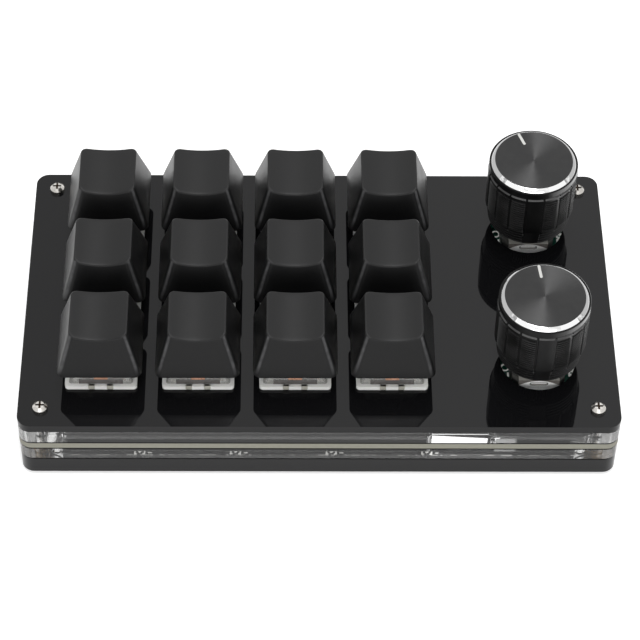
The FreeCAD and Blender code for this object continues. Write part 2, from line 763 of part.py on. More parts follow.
def make_first_stem(doc, label):
    """Make the sliding stem: cross on top, hollow shoulder, stop lip and guide rod."""
    body = new_switch_body(doc, label)
    shoulder = new_sketch(body, "stem_shoulder", "places.stem_low")
    draw_rectangle(shoulder, "dims.stem_wide", "dims.stem_deep")
    add_pad(body, shoulder, "dims.stem_long")
    lip_low = "places.cover_roof_low - dims.lip_gap - dims.lip_thick"
    lip = new_sketch(body, "stem_lip", lip_low)
    draw_rectangle(lip, "dims.lip_wide", "dims.lip_deep")
    add_pad(body, lip, "dims.lip_thick")
    hollow = new_sketch(body, "spring_hollow", "places.stem_low")
    draw_circle(hollow, "places.spring_hole")
    add_pocket(body, hollow, "dims.stem_long - dims.stem_roof")
    rod = new_sketch(body, "guide_rod", "places.rod_low")
    draw_circle(rod, "dims.rod_wide")
    add_pad(body, rod, "places.stem_top - places.rod_low")
    cross = new_sketch(body, "stem_cross", "places.stem_top")
    draw_cross(cross, "dims.cross_long", "dims.cross_bar")
    add_pad(body, cross, "dims.cross_high")
    return body


def make_first_keycap(doc, label):
    """Make the keycap: tapered shell with a dished top and a post for the stem's cross."""
    body = new_body(doc, label, "places.first_key_x", "places.first_key_y", "places.cap_base")
    low = new_sketch(body, "cap_low", y="-dims.cap_front / 2")
    draw_rounded(low, "places.cap_wide", "places.cap_deep", "dims.cap_round")
    high = new_sketch(body, "cap_high", "dims.cap_high", y="-dims.cap_top_forward")
    draw_rounded(high, "dims.cap_top_wide", "dims.cap_top_deep", "dims.cap_top_round")
    add_loft(body, low, high)
    dish_height = "dims.cap_high - dims.dish_deep + places.dish_radius"
    dish = new_sketch(body, "cap_dish", y=dish_height, plane="XZ_Plane")
    draw_circle(dish, "2 * places.dish_radius")
    dished = add_pocket(body, dish)
    doc.recompute()
    rim = body.newObject("PartDesign::Fillet", "cap_rim")
    rim.Base = (dished, rim_edges(dished.Shape))
    rim.setExpression("Radius", "dims.cap_edge_round")
    inner_low = new_sketch(body, "cap_inner_low", y="-dims.cap_front / 2")
    inside_wide = "places.cap_wide - 2 * dims.cap_wall"
    inside_deep = "places.cap_deep - 2 * dims.cap_wall"
    draw_rounded(inner_low, inside_wide, inside_deep, "dims.cap_round")
    rise_share = "places.cap_roof_low / dims.cap_high"
    moved_back = f"(dims.cap_front / 2 - dims.cap_top_forward) * {rise_share}"
    inner_high = new_sketch(body, "cap_inner_high", "places.cap_roof_low",
                            y=f"{moved_back} - dims.cap_front / 2")
    for_wide = f"{inside_wide} - (places.cap_wide - dims.cap_top_wide) * {rise_share}"
    for_deep = f"{inside_deep} - (places.cap_deep - dims.cap_top_deep) * {rise_share}"
    draw_rounded(inner_high, for_wide, for_deep, "dims.cap_round")
    add_loft(body, inner_low, inner_high, cut=True)
    post = new_sketch(body, "cap_post", "places.cap_post_low")
    draw_circle(post, "dims.cap_post_wide")
    add_pad(body, post, "places.cap_roof_low + dims.cap_roof / 2 - places.cap_post_low")
    cross = new_sketch(body, "cap_cross", "places.cap_post_low")
    cross_long = "dims.cross_long + 2 * dims.cross_fit"
    draw_cross(cross, cross_long, "dims.cross_bar + 2 * dims.cross_fit")
    add_pocket(body, cross, "dims.cross_high")
    return body


def rim_edges(shape):
    """Name the edges that run round the top of a keycap: both ends lie on its dish."""
    dish = max(shape.Faces, key=lambda face: face.CenterOfMass.z)
    return [f"Edge{i}" for i, edge in enumerate(shape.Edges, start=1)
            if any(edge.isSame(other) for other in dish.Edges)]


def repeat_for_keys(doc, name, make_first, height):
    """Make a piece for every key: the first is drawn and the others follow it."""
    first = make_first(doc, f"{name}_row1_column1")
    bodies = [first]
    columns, rows = key_counts(doc)
    for row in range(rows):
        for column in range(columns):
            if row or column:
                label = f"{name}_row{row + 1}_column{column + 1}"
                x = f"places.first_key_x + dims.key_pitch_x * {column}"
                y = f"places.first_key_y + dims.key_pitch_y * {row}"
                bodies.append(copy_body(doc, first, label, x, y, height))
    return bodies


def copy_body(doc, first, label, x, y, z):
    """Make a body with another one's shape, at a place of its own."""
    body = new_body(doc, label, x, y, z)
    base = body.newObject("PartDesign::FeatureBase", f"{label}_base")
    base.BaseFeature = first
    return body


def new_encoder_body(doc, label, side="front"):
    """Start a sub-part on the board, on one knob's axis."""
    y = f"places.knob_front_y + {KNOBS[side]}"
    return new_body(doc, label, "places.knob_x", y, "places.board_top")


def draw_encoder_outline(sketch, wide, deep):
    """Draw a rectangle with cut corners about the sketch's origin."""
    x, y, cut = f"({wide}) / 2", f"({deep}) / 2", "dims.encoder_chamfer"
    quarter = [(x, f"{y} - {cut}"), (f"{x} - {cut}", y)]
    points = quarter
    points = points + [(f"-({px})", py) for px, py in reversed(quarter)]
    points = points + [(f"-({px})", f"-({py})") for px, py in quarter]
    points = points + [(px, f"-({py})") for px, py in reversed(quarter)]
    draw_outline(sketch, points)


def make_encoder_bases(doc):
    """Make the two encoder bases, hollow for the rotor."""
    body = new_encoder_body(doc, "encoder_bases")
    outline = new_sketch(body, "encoder_outline")
    draw_encoder_outline(outline, "dims.encoder_wide", "dims.encoder_deep")
    add_pad(body, outline, "dims.encoder_base_high")
    hollow = new_sketch(body, "rotor_hollow", "dims.encoder_floor")
    draw_circle(hollow, "places.rotor_hole")
    add_pocket(body, hollow, "dims.encoder_base_high")
    add_knob_grid(body)
    return body


def make_encoder_brackets(doc):
    """Make the two sheet brackets: a top with a tab bent down at the front and the back."""
    body = new_encoder_body(doc, "encoder_brackets")
    top = new_sketch(body, "bracket_top", "dims.encoder_base_high")
    draw_encoder_outline(top, "dims.encoder_wide", "dims.encoder_deep")
    add_pad(body, top, "dims.bracket_top_thick")
    strap = new_sketch(body, "bracket_strap", "dims.encoder_base_high")
    draw_rectangle(strap, "dims.bracket_tab_wide", "dims.bracket_deep")
    add_pad(body, strap, "dims.bracket_top_thick")
    for side, sign in (("front", "-"), ("back", "+")):
        y = f"{sign} (dims.bracket_deep - dims.bracket_sheet) / 2"
        tab = new_sketch(body, f"{side}_tab", "dims.encoder_base_high", y=y)
        draw_rectangle(tab, "dims.bracket_tab_wide", "dims.bracket_sheet")
        add_pad(body, tab, "dims.bracket_tab_long - dims.bracket_top_thick", down=True)
    hole = new_sketch(body, "bracket_hole")
    draw_circle(hole, "dims.bushing_wide")
    add_pocket(body, hole)
    slot = new_sketch(body, "bracket_slot", y="places.bracket_top - dims.bracket_slot_low",
                      z="dims.bracket_deep / 2", plane="XZ_Plane")
    draw_rounded(slot, "dims.bracket_slot_long", "dims.bracket_slot_high",
                 "dims.bracket_slot_round")
    add_pocket(body, slot, "dims.bracket_sheet / 2", up=False)
    add_knob_grid(body)
    return body


def make_encoder_bushings(doc):
    """Make the two bushings that guide the shafts."""
    body = new_encoder_body(doc, "encoder_bushings")
    inner, outer = "dims.shaft_wide / 2 + dims.shaft_fit", "dims.bushing_wide / 2"
    low, high = "dims.encoder_base_high", "places.bushing_top"
    add_turned(body, "bushing_profile", [(inner, low), (outer, low), (outer, high), (inner, high)])
    add_knob_grid(body)
    return body


def make_encoder_terminals(doc):
    """Make the five terminals of each encoder, in front of its base and behind it."""
    body = new_encoder_body(doc, "encoder_terminals")
    body.AllowCompound = True
    for name, count, pitch, side in terminal_rows():
        for place in range(count):
            x = f"({pitch}) * {place - (count - 1) / 2}"
            leg = new_sketch(body, f"{name}_leg_{place + 1}", "dims.terminal_high", x,
                             f"{side} places.terminal_y")
            draw_rectangle(leg, "dims.terminal_wide", "dims.terminal_wide")
            length = "dims.terminal_high + dims.board_thick + dims.terminal_out"
            add_pad(body, leg, length, down=True)
    add_knob_grid(body)
    return body


def make_encoder_rotor(doc, side):
    """Make the disc that turns with the shaft and lets it slide."""
    body = new_encoder_body(doc, f"{side}_encoder_rotor", side)
    disc = new_sketch(body, f"{side}_rotor_disc", "places.rotor_low")
    draw_circle(disc, "dims.rotor_wide")
    add_pad(body, disc, "dims.rotor_thick")
    hole = new_sketch(body, f"{side}_rotor_hole")
    across = "dims.spigot_wide + 2 * dims.spigot_fit"
    draw_rectangle(hole, across, across)
    add_pocket(body, hole)
    return body


def make_encoder_shaft(doc, side):
    """Make the shaft: square spigot in the rotor, round journal and a flat for the knob."""
    body = new_encoder_body(doc, f"{side}_encoder_shaft", side)
    journal_low = "places.rotor_low + dims.rotor_thick + dims.press + dims.rotor_gap"
    spigot_low = "dims.encoder_floor + dims.rotor_gap / 2 + dims.press"
    journal = new_sketch(body, f"{side}_journal", journal_low)
    draw_circle(journal, "dims.shaft_wide")
    add_pad(body, journal, f"places.shaft_top - ({journal_low})")
    spigot = new_sketch(body, f"{side}_spigot", journal_low)
    draw_rectangle(spigot, "dims.spigot_wide", "dims.spigot_wide")
    add_pad(body, spigot, f"{journal_low} - ({spigot_low})", down=True)
    flat = new_sketch(body, f"{side}_flat", "places.shaft_top - dims.shaft_flat_long",
                      y="-(dims.shaft_wide - dims.shaft_flat)")
    draw_rectangle(flat, "dims.shaft_wide", "dims.shaft_wide")
    add_pocket(body, flat, "dims.shaft_flat_long + dims.overrun")
    return body


def knob_profile():
    """Return the outline of a knob's outside as (radius, height) points."""
    high = "dims.knob_high"
    shoulder = f"{high} - dims.knob_ring_drop - dims.knob_collar_high"
    radius = "dims.knob_wide / 2"
    step = "dims.knob_groove_deep"
    return [
        ("0", "0"),
        ("dims.knob_foot_wide / 2", "0"),
        (f"{radius} - {step}", "dims.knob_foot_high"),
        (radius, f"dims.knob_foot_high + {step}"),
        (radius, f"{shoulder} - {step}"),
        (f"{radius} - {step}", shoulder),
        ("dims.knob_collar_wide / 2", shoulder),
        ("dims.knob_collar_wide / 2", f"{high} - dims.knob_ring_drop"),
        ("places.knob_ring_outer / 2", f"{high} - dims.knob_ring_drop"),
        ("places.knob_ring_inner / 2", high),
        ("0", high),
    ]


def make_knob(doc, side, turn):
    """Make one knob: turned outside, panel grooves, hollow underside, hub and pointer."""
    y = f"places.knob_front_y + {KNOBS[side]}"
    height = "places.board_top + places.knob_low"
    body = new_body(doc, f"{side}_knob", "places.knob_x", y, height)
    add_turned(body, f"{side}_knob_profile", knob_profile())
    low = "dims.knob_foot_high / 2 + dims.knob_groove_deep"
    groove = new_sketch(body, f"{side}_knob_groove", low, "dims.knob_wide / 2")
    draw_rectangle(groove, "2 * dims.knob_groove_deep", "dims.knob_groove_wide")
    groove_high = "dims.knob_high - dims.knob_ring_drop - dims.knob_collar_high"
    cut = add_pocket(body, groove, f"{groove_high} - ({low})")
    ring = body.newObject("PartDesign::PolarPattern", f"{side}_knob_grooves")
    ring.Originals = [cut]
    ring.Axis = (origin_part(body, "Z_Axis"), [""])
    ring.Angle = 360
    ring.Occurrences = KNOB_PANELS
    body.Tip = ring
    add_foot_rings(body, side)
    hollow = new_sketch(body, f"{side}_knob_hollow")
    draw_circle(hollow, "places.knob_hollow_wide")
    add_pocket(body, hollow, "places.knob_hollow_top")
    hub = new_sketch(body, f"{side}_knob_hub", "places.knob_hub_low")
    draw_circle(hub, "dims.knob_hub_wide")
    hub_top = "places.knob_hollow_top + dims.knob_roof / 2"
    add_pad(body, hub, f"{hub_top} - places.knob_hub_low")
    add_shaft_bore(body, side)
    add_pointer(body, side, turn)
    return body


def add_foot_rings(body, side):
    """Cut the fine rings round the tapered foot of a knob."""
    for ring in range(KNOB_RINGS):
        height = f"dims.knob_foot_high * {ring + 1} / {KNOB_RINGS + 1}"
        half = "dims.knob_line_wide / 2"
        lean = "(dims.knob_wide / 2 - dims.knob_groove_deep - dims.knob_foot_wide / 2)"
        surface = f"dims.knob_foot_wide / 2 + {lean} * {ring + 1} / {KNOB_RINGS + 1}"
        outside = "dims.knob_wide / 2 + dims.overrun"
        add_turned(body, f"{side}_foot_ring_{ring + 1}", [
            (f"{surface} - dims.knob_line_deep", height),
            (outside, f"{height} - {half}"),
            (outside, f"{height} + {half}"),
        ], cut=True)


def add_shaft_bore(body, side):
    """Cut the bore for the shaft, with the flat left standing."""
    fit = "dims.shaft_fit"
    bore = new_sketch(body, f"{side}_knob_bore")
    draw_circle(bore, f"dims.shaft_wide + 2 * {fit}")
    add_pocket(body, bore, f"places.shaft_top + {fit} - places.knob_low")
    key = new_sketch(body, f"{side}_knob_key", "places.knob_hub_low",
                     y=f"-(dims.shaft_wide - dims.shaft_flat + {fit})")
    draw_rectangle(key, "dims.shaft_wide", "dims.shaft_wide")
    add_pad(body, key, "places.knob_hollow_top + dims.knob_roof / 2 - places.knob_hub_low")


def add_pointer(body, side, turn):
    """Engrave the pointer line into the top of a knob, turned away from straight back."""
    angle = math.radians(turn)
    middle = "(places.knob_ring_inner - dims.pointer_long) / 2"
    line = new_sketch(body, f"{side}_pointer", "dims.knob_high - dims.pointer_deep",
                      f"-{middle} * {math.sin(angle):.6f}", f"{middle} * {math.cos(angle):.6f}")
    line.AttachmentOffset = FreeCAD.Placement(Vector(), Rotation(Vector(0, 0, 1), turn))
    draw_rectangle(line, "dims.pointer_wide", "dims.pointer_long")
    add_pocket(body, line, "dims.pointer_deep + dims.overrun")


def new_socket_body(doc, label):
    """Start a sub-part of the socket, at the middle of its mouth in the back edge."""
    height = "places.board_low - dims.socket_high / 2"
    return new_body(doc, label, "places.socket_x", "dims.case_deep / 2", height)


def make_socket_shell(doc):
    """Make the sheet-metal shell of the socket, open at both ends."""
    body = new_socket_body(doc, "socket_shell")
    outside = new_sketch(body, "socket_outside", plane="XZ_Plane")
    draw_rounded(outside, "dims.socket_wide", "dims.socket_high", "dims.socket_round")
    add_pad(body, outside, "dims.socket_long")
    inside = new_sketch(body, "socket_inside", plane="XZ_Plane")
    wall = "dims.socket_wall"
    draw_rounded(inside, f"dims.socket_wide - 2 * {wall}", f"dims.socket_high - 2 * {wall}",
                 f"dims.socket_round - {wall}")
    add_pocket(body, inside)
    return body


def make_socket_tongue(doc):
    """Make the insulator of the socket: a block at the back of the shell and its tongue."""
    body = new_socket_body(doc, "socket_tongue")
    wall = "dims.socket_wall"
    block = new_sketch(body, "tongue_block", "dims.tongue_reach", plane="XZ_Plane")
    draw_rounded(block, f"dims.socket_wide - 2 * {wall}", f"dims.socket_high - 2 * {wall}",
                 f"dims.socket_round - {wall}")
    add_pad(body, block, "dims.socket_long - dims.tongue_reach")
    tongue = new_sketch(body, "tongue", "dims.tongue_sunk", plane="XZ_Plane")
    draw_rectangle(tongue, "dims.tongue_wide", "dims.tongue_thick")
    add_pad(body, tongue, "dims.tongue_reach - dims.tongue_sunk")
    return body


def make_board_chips(doc):
    """Make the controller chip and one diode per key, under the board."""
    body = new_body(doc, "board_chips", z="places.board_low")
    body.AllowCompound = True
    chip = new_sketch(body, "controller_chip", x="places.socket_x", y="places.chip_y")
    draw_rectangle(chip, "dims.chip_wide", "dims.chip_wide")
    add_pad(body, chip, "dims.chip_thick", down=True)
    x = "places.first_key_x + dims.diode_right"
    diode = new_sketch(body, "diode", x=x, y="places.first_key_y - dims.diode_front")
    draw_rectangle(diode, "dims.diode_wide", "dims.diode_deep")
    add_key_grid(body, [add_pad(body, diode, "dims.diode_thick", down=True)])
    return body


def main():
    """Build every sub-part, check it and write its file."""
    doc = FreeCAD.newDocument("macro_keypad")
    make_table(doc)
    makers = (
        make_base_plate, make_rubber_feet, make_lower_frame, make_circuit_board,
        make_upper_frame, make_top_plate, make_corner_screws, make_corner_inserts,
        make_lower_housings, make_upper_housings, make_contacts, make_board_chips,
        make_socket_shell, make_socket_tongue, make_encoder_bases, make_encoder_brackets,
        make_encoder_bushings, make_encoder_terminals,
    )
    bodies = [make(doc) for make in makers]
    bodies += repeat_for_keys(doc, "spring", make_first_spring, "places.plate_top")
    bodies += repeat_for_keys(doc, "stem", make_first_stem, "places.plate_top")
    bodies += repeat_for_keys(doc, "keycap", make_first_keycap, "places.cap_base")
    for side, turn in POINTER_TURNS.items():
        bodies.append(make_encoder_rotor(doc, side))
        bodies.append(make_encoder_shaft(doc, side))
        bodies.append(make_knob(doc, side, turn))
    write_parts(doc, bodies)


def write_parts(doc, bodies):
    """Check every object of the document and write each sub-part to its own file."""
    doc.recompute()
    failed = [item.Name for item in doc.Objects if {"Invalid", "Error"} & set(item.State)]
    if failed:
        raise RuntimeError(f"these objects failed: {failed}")
    os.makedirs("parts", exist_ok=True)
    for body in bodies:
        shape = body.Shape
        if shape.isNull() or not shape.isValid():
            raise RuntimeError(f"{body.Label} has no valid shape")
        print(f"{body.Label}: {len(shape.Solids)} solids, {shape.Volume:.2f} mm3")
        shape.exportStep(f"parts/{body.Label}.step")


main()
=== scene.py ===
"""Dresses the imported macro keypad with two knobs: finishes, fine detail, studio and camera."""
import enum
import json
import logging
import math
from dataclasses import dataclass
from typing import Iterable, Sequence, Union

import bmesh
import bpy
from mathutils import Matrix, Vector


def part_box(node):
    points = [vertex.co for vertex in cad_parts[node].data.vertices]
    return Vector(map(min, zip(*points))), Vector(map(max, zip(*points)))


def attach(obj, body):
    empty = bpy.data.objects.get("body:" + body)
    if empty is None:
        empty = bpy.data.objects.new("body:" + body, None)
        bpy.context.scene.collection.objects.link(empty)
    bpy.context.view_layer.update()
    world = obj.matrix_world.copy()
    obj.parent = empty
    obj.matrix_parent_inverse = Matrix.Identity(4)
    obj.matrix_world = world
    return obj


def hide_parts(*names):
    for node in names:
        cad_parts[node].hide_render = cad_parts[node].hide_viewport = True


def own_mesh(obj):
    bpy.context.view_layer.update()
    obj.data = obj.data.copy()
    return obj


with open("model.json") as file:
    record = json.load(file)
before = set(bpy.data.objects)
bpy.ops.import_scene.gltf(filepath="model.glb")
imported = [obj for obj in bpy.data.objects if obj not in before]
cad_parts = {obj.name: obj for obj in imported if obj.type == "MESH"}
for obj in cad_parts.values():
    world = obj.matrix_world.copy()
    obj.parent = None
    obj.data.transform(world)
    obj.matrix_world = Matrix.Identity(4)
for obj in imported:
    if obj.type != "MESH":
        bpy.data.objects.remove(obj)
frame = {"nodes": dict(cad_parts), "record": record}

LOG = logging.getLogger("keypad")
MM = 0.001
SHARP_ANGLE = 32.0
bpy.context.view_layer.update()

Colour = tuple[float, float, float]
Point = tuple[float, float, float]
Pair = tuple[float, float]
Patch = tuple[float, float, float, float]
Number = Union["Signal", float]


class Knob(enum.Enum):
    """The two knobs, by their place on the plate."""

    FRONT = "front"
    REAR = "rear"


class Grain(enum.Enum):
    """How the surface of a metal was worked."""

    CAST = "cast"
    DRAWN = "drawn"


class Signal:
    """One value socket of a node tree, whose sums are written as Python expressions."""

    def __init__(self, maker: "NodeMaker", socket: bpy.types.NodeSocket) -> None:
        """Wrap the socket that carries the value, with what adds its tree's nodes."""
        self.maker = maker
        self.socket = socket

    def maths(self, operation: str, first: Number, second: Number = 0.0) -> "Signal":
        """Add a Math node with the operation of that name and give its result."""
        node = self.maker.node("ShaderNodeMath", {"operation": operation}, {0: first, 1: second})
        return Signal(self.maker, node.outputs[0])

    def __add__(self, other: Number) -> "Signal":
        """Add."""
        return self.maths("ADD", self, other)

    __radd__ = __add__

    def __sub__(self, other: Number) -> "Signal":
        """Subtract."""
        return self.maths("SUBTRACT", self, other)

    def __rsub__(self, other: Number) -> "Signal":
        """Subtract this signal from a number."""
        return self.maths("SUBTRACT", other, self)

    def __mul__(self, other: Number) -> "Signal":
        """Multiply."""
        return self.maths("MULTIPLY", self, other)

    __rmul__ = __mul__

    def __truediv__(self, other: Number) -> "Signal":
        """Divide."""
        return self.maths("DIVIDE", self, other)

    def __lt__(self, other: Number) -> "Signal":
        """Give 1 where this signal is the smaller one."""
        return self.maths("LESS_THAN", self, other)

    def __gt__(self, other: Number) -> "Signal":
        """Give 1 where this signal is the larger one."""
        return self.maths("GREATER_THAN", self, other)

    def __abs__(self) -> "Signal":
        """Drop the sign."""
        return self.maths("ABSOLUTE", self)

    def larger(self, other: Number) -> "Signal":
        """Take the larger of two values."""
        return self.maths("MAXIMUM", self, other)

    def root(self) -> "Signal":
        """Take the square root."""
        return self.maths("SQRT", self)

    def sine(self) -> "Signal":
        """Take the sine."""
        return self.maths("SINE", self)

    def cell(self, first: float, pitch: float) -> "Signal":
        """Give the signed distance from the nearest stop of a row of stops."""
        turn = (self - first) / pitch + 0.5
        return (turn - turn.maths("FLOOR", turn) - 0.5) * pitch


def inside(across: Signal, along: Signal, patch: Patch) -> Signal:
    """Give 1 inside a patch, which is its middle and half its size along X and Y."""
    middle_x, middle_y, half_x, half_y = patch
    return (abs(across - middle_x) < half_x) * (abs(along - middle_y) < half_y)


def outline(across: Signal, along: Signal, half: Pair, line: float) -> Signal:
    """Give 1 on the outline of a rectangle, from half its size and half its line."""
    return abs((abs(across) - half[0]).larger(abs(along) - half[1])) < line


@dataclass(frozen=True)
class KeyGrid:
    """Where the keys are, shared by everything that repeats with them."""

    columns: int = 4
    rows: int = 3
    pitch_x: float = 21.06
    pitch_y: float = 21.1
    middle_x: float = -15.8
    middle_y: float = 2.2
    plate_top: float = 17.1

    @property
    def first(self) -> Pair:
        """Centre of the front left key."""
        return (self.middle_x - self.pitch_x * (self.columns - 1) / 2.0,
                self.middle_y - self.pitch_y * (self.rows - 1) / 2.0)

    def keys(self) -> list[tuple[str, float, float]]:
        """List the keys.

        Returns:
            Each key's name ending and centre.
        """
        x, y = self.first
        return [(f"row{row + 1}_column{column + 1}", x + self.pitch_x * column,
                 y + self.pitch_y * row)
                for row in range(self.rows) for column in range(self.columns)]

    def cells(self, x: Signal, y: Signal, aside: Pair = (0.0, 0.0)
              ) -> tuple[Signal, Signal]:
        """Give the place seen from the nearest key, or from the same spot beside it.

        Args:
            x: The place along X.
            y: The place along Y.
            aside: The spot's place from the key's centre.

        Returns:
            The signed distances along X and Y.
        """
        first_x, first_y = self.first
        return (x.cell(first_x + aside[0], self.pitch_x),
                y.cell(first_y + aside[1], self.pitch_y))


@dataclass(frozen=True)
class KnobPair:
    """Where the two knobs are."""

    x: float = 47.9
    front_y: float = -18.35
    pitch: float = 39.6
    base: float = 21.3

    def foot(self, which: Knob) -> Point:
        """Give the middle of a knob's lower end."""
        return (self.x, self.front_y + (self.pitch if which is Knob.REAR else 0.0), self.base)


class NodeMaker:
    """Adds nodes to a tree and links or sets their inputs."""

    def __init__(self, tree: bpy.types.NodeTree) -> None:
        """Start with an empty tree."""
        self.tree = tree
        self.tree.nodes.clear()

    def node(self, kind: str, settings: dict | None = None,
             inputs: dict | None = None) -> bpy.types.Node:
        """Add a node.

        Args:
            kind: Blender's name of the node's type.
            settings: Properties of the node, set first.
            inputs: Values, signals or sockets for its inputs, by name or number.

        Returns:
            The new node.
        """
        node = self.tree.nodes.new(kind)
        for name, setting in (settings or {}).items():
            setattr(node, name, setting)
        for name, item in (inputs or {}).items():
            self.feed(node.inputs[name], item)
        return node

    def feed(self, socket: bpy.types.NodeSocket, item: object) -> None:
        """Link or set an input.

        Args:
            socket: The input.
            item: A signal, a socket, a number or a tuple.
        """
        if isinstance(item, Signal):
            item = item.socket
        if isinstance(item, bpy.types.NodeSocket):
            self.tree.links.new(item, socket)
        elif isinstance(item, tuple) and socket.type == "RGBA":
            socket.default_value = (*item[:3], 1.0)
        else:
            socket.default_value = item

    def seen_directly(self) -> Signal:
        """Tell the rays that are looked along from those that only light.

        Returns:
            1 for rays of the camera, of gloss and through glass.
        """
        path = self.node("ShaderNodeLightPath").outputs
        camera, gloss, glass = (Signal(self, path[name]) for name in (
            "Is Camera Ray", "Is Glossy Ray", "Is Transmission Ray"))
        return camera.larger(gloss).larger(glass)


class Shader(NodeMaker):
    """A material built around one Principled shader."""

    def __init__(self, name: str) -> None:
        """Start a material.

        Args:
            name: Name of the material.
        """
        self.material = bpy.data.materials.new(name)
        self.material.use_nodes = True
        super().__init__(self.material.node_tree)
        self.skin = self.node("ShaderNodeBsdfPrincipled")
        self.output = self.node("ShaderNodeOutputMaterial", None,
                                {"Surface": self.skin.outputs[0]})
        self.coordinates = self.node("ShaderNodeTexCoord")

    def dress(self, **values: object) -> None:
        """Set inputs of the Principled shader, named with _ for a space."""
        for name, item in values.items():
            self.feed(self.skin.inputs[name.replace("_", " ").title().replace("Ior", "IOR")], item)

    def place(self) -> tuple[Signal, Signal, Signal]:
        """Give the object coordinates in millimetres."""
        split = self.node("ShaderNodeSeparateXYZ", None, {0: self.coordinates.outputs["Object"]})
        return tuple(Signal(self, socket) * (1.0 / MM) for socket in split.outputs)

    def facing_up(self) -> Signal:
        """Give how far a face looks up or down: 1 for level faces, 0 for walls."""
        split = self.node("ShaderNodeSeparateXYZ", None, {0: self.coordinates.outputs["Normal"]})
        return abs(Signal(self, split.outputs[2]))

    def facing_front(self) -> Signal:
        """Give how far a face looks to the front: 1 for front walls, -1 for back walls."""
        split = self.node("ShaderNodeSeparateXYZ", None, {0: self.coordinates.outputs["Normal"]})
        return Signal(self, split.outputs[1]) * -1.0

    def facing_right(self) -> Signal:
        """Tell how far a face looks to the right of the room, however its piece is turned.

        Returns:
            1 for walls that look to the right, and -1 to the left.
        """
        room = self.node("ShaderNodeNewGeometry")
        split = self.node("ShaderNodeSeparateXYZ", None, {0: room.outputs["Normal"]})
        return Signal(self, split.outputs[0])

    def painted(self, name: str) -> Signal:
        """Give a value that is painted on the points of a mesh."""
        paint = self.node("ShaderNodeAttribute", {"attribute_name": name})
        return Signal(self, paint.outputs["Fac"])

    def from_knob(self, knobs: KnobPair = KnobPair()) -> tuple[Signal, Signal, Signal]:
        """Give the place seen from the nearest knob's axis.

        Args:
            knobs: Where the knobs are.

        Returns:
            The distances to the right, to the back and from the axis, in millimetres.
        """
        x, y, _ = self.place()
        across, along = x - knobs.x, y.cell(knobs.front_y, knobs.pitch)
        return across, along, (across * across + along * along).root()

    def noise(self, size: float, detail: float = 3.0,
              stretch: Point = (1.0, 1.0, 1.0)) -> Signal:
        """Add noise in the piece's own space.

        Args:
            size: Width of its lumps in millimetres.
            detail: Finer layers on top of the first.
            stretch: Scale along each axis; above 1 is finer.

        Returns:
            The noise, from 0 to 1.
        """
        turned = self.node("ShaderNodeMapping", None,
                           {"Vector": self.coordinates.outputs["Object"], "Scale": stretch})
        node = self.node("ShaderNodeTexNoise", None,
                         {"Vector": turned.outputs[0], "Scale": 1.0 / (size * MM),
                          "Detail": detail})
        return Signal(self, node.outputs[0])

    def between(self, signal: Signal, low: float, high: float,
                from_low: float = 0.3, from_high: float = 0.7) -> Signal:
        """Spread a signal over a range.

        Args:
            signal: The signal.
            low: Result at the lower end.
            high: Result at the upper end.
            from_low: The signal's own lower end.
            from_high: The signal's own upper end.

        Returns:
            The signal in its new range.
        """
        node = self.node("ShaderNodeMapRange", {"interpolation_type": "SMOOTHSTEP"},
                         {"Value": signal, "From Min": from_low, "From Max": from_high,
                          "To Min": low, "To Max": high})
        return Signal(self, node.outputs[0])

    def mix(self, factor: Number, first: object, second: object) -> bpy.types.NodeSocket:
        """Mix two colours, or their sockets, by the share of the second one."""
        node = self.node("ShaderNodeMix", {"data_type": "RGBA"}, {0: factor, 6: first, 7: second})
        return node.outputs[2]

    def bump(self, height: Signal, depth: float) -> None:
        """Give the surface a relief, from 0 to 1, with its depth in millimetres."""
        node = self.node("ShaderNodeBump", None, {"Height": height, "Distance": depth * MM})
        self.feed(self.skin.inputs["Normal"], node.outputs[0])


@dataclass(frozen=True)
class GlossSheet:
    """Black cast sheet with a mirror gloss and faint wipe marks; its coat carries painted shade before each
    key and painted sheen that grows to the right.
    """

    grid: KeyGrid = KeyGrid()
    name: str = "gloss_black_sheet"
    colour: Colour = (0.0045, 0.0045, 0.005)
    worn_colour: Colour = (0.008, 0.008, 0.009)
    wall_coat: float = 0.12
    walls_up_to: float = 10.0
    left_coat: float = 0.24
    right_coat: float = 0.42
    left_and_right: Pair = (-60.0, 40.0)
    shade_patch: Patch = (0.0, -8.6, 8.4, 1.8)
    keys_half: float = 41.0

    def build(self) -> bpy.types.Material:
        """Build the material.

        Returns:
            The material.
        """
        shader = Shader(self.name)
        x, y, z = shader.place()
        key_x, key_y = self.grid.cells(x, y)
        # Painted shade: no coat in a patch before each key, which dims the reflections there.
        shade_before_keys = inside(key_x, key_y, self.shade_patch) * (
            abs(x - self.grid.middle_x) < self.keys_half)
        # Painted sheen: the coat on the top grows from left to right, and only the walls below walls_up_to
        # get some.
        top = shader.between(x, self.left_coat, self.right_coat, *self.left_and_right) * (
            1.0 - shade_before_keys)
        level = shader.between(shader.facing_up(), 0.0, 1.0)
        walls = (1.0 - level) * (z < self.walls_up_to)
        wipes = shader.noise(9.0, 4.0, (1.0, 2.5, 1.0))
        specks = shader.noise(0.35, 2.0)
        rough = shader.between(wipes, 0.015, 0.045) + shader.between(specks, 0.0, 0.05, 0.68, 0.78)
        colour = shader.mix(shader.between(specks, 0.0, 1.0, 0.66, 0.8),
                            self.colour, self.worn_colour)
        shader.dress(base_color=colour, roughness=rough, ior=1.49, specular_ior_level=0.18,
                     coat_weight=level * top + walls * self.wall_coat,
                     coat_roughness=0.03)
        shader.bump(shader.noise(22.0, 1.0), 0.012)
        return shader.material


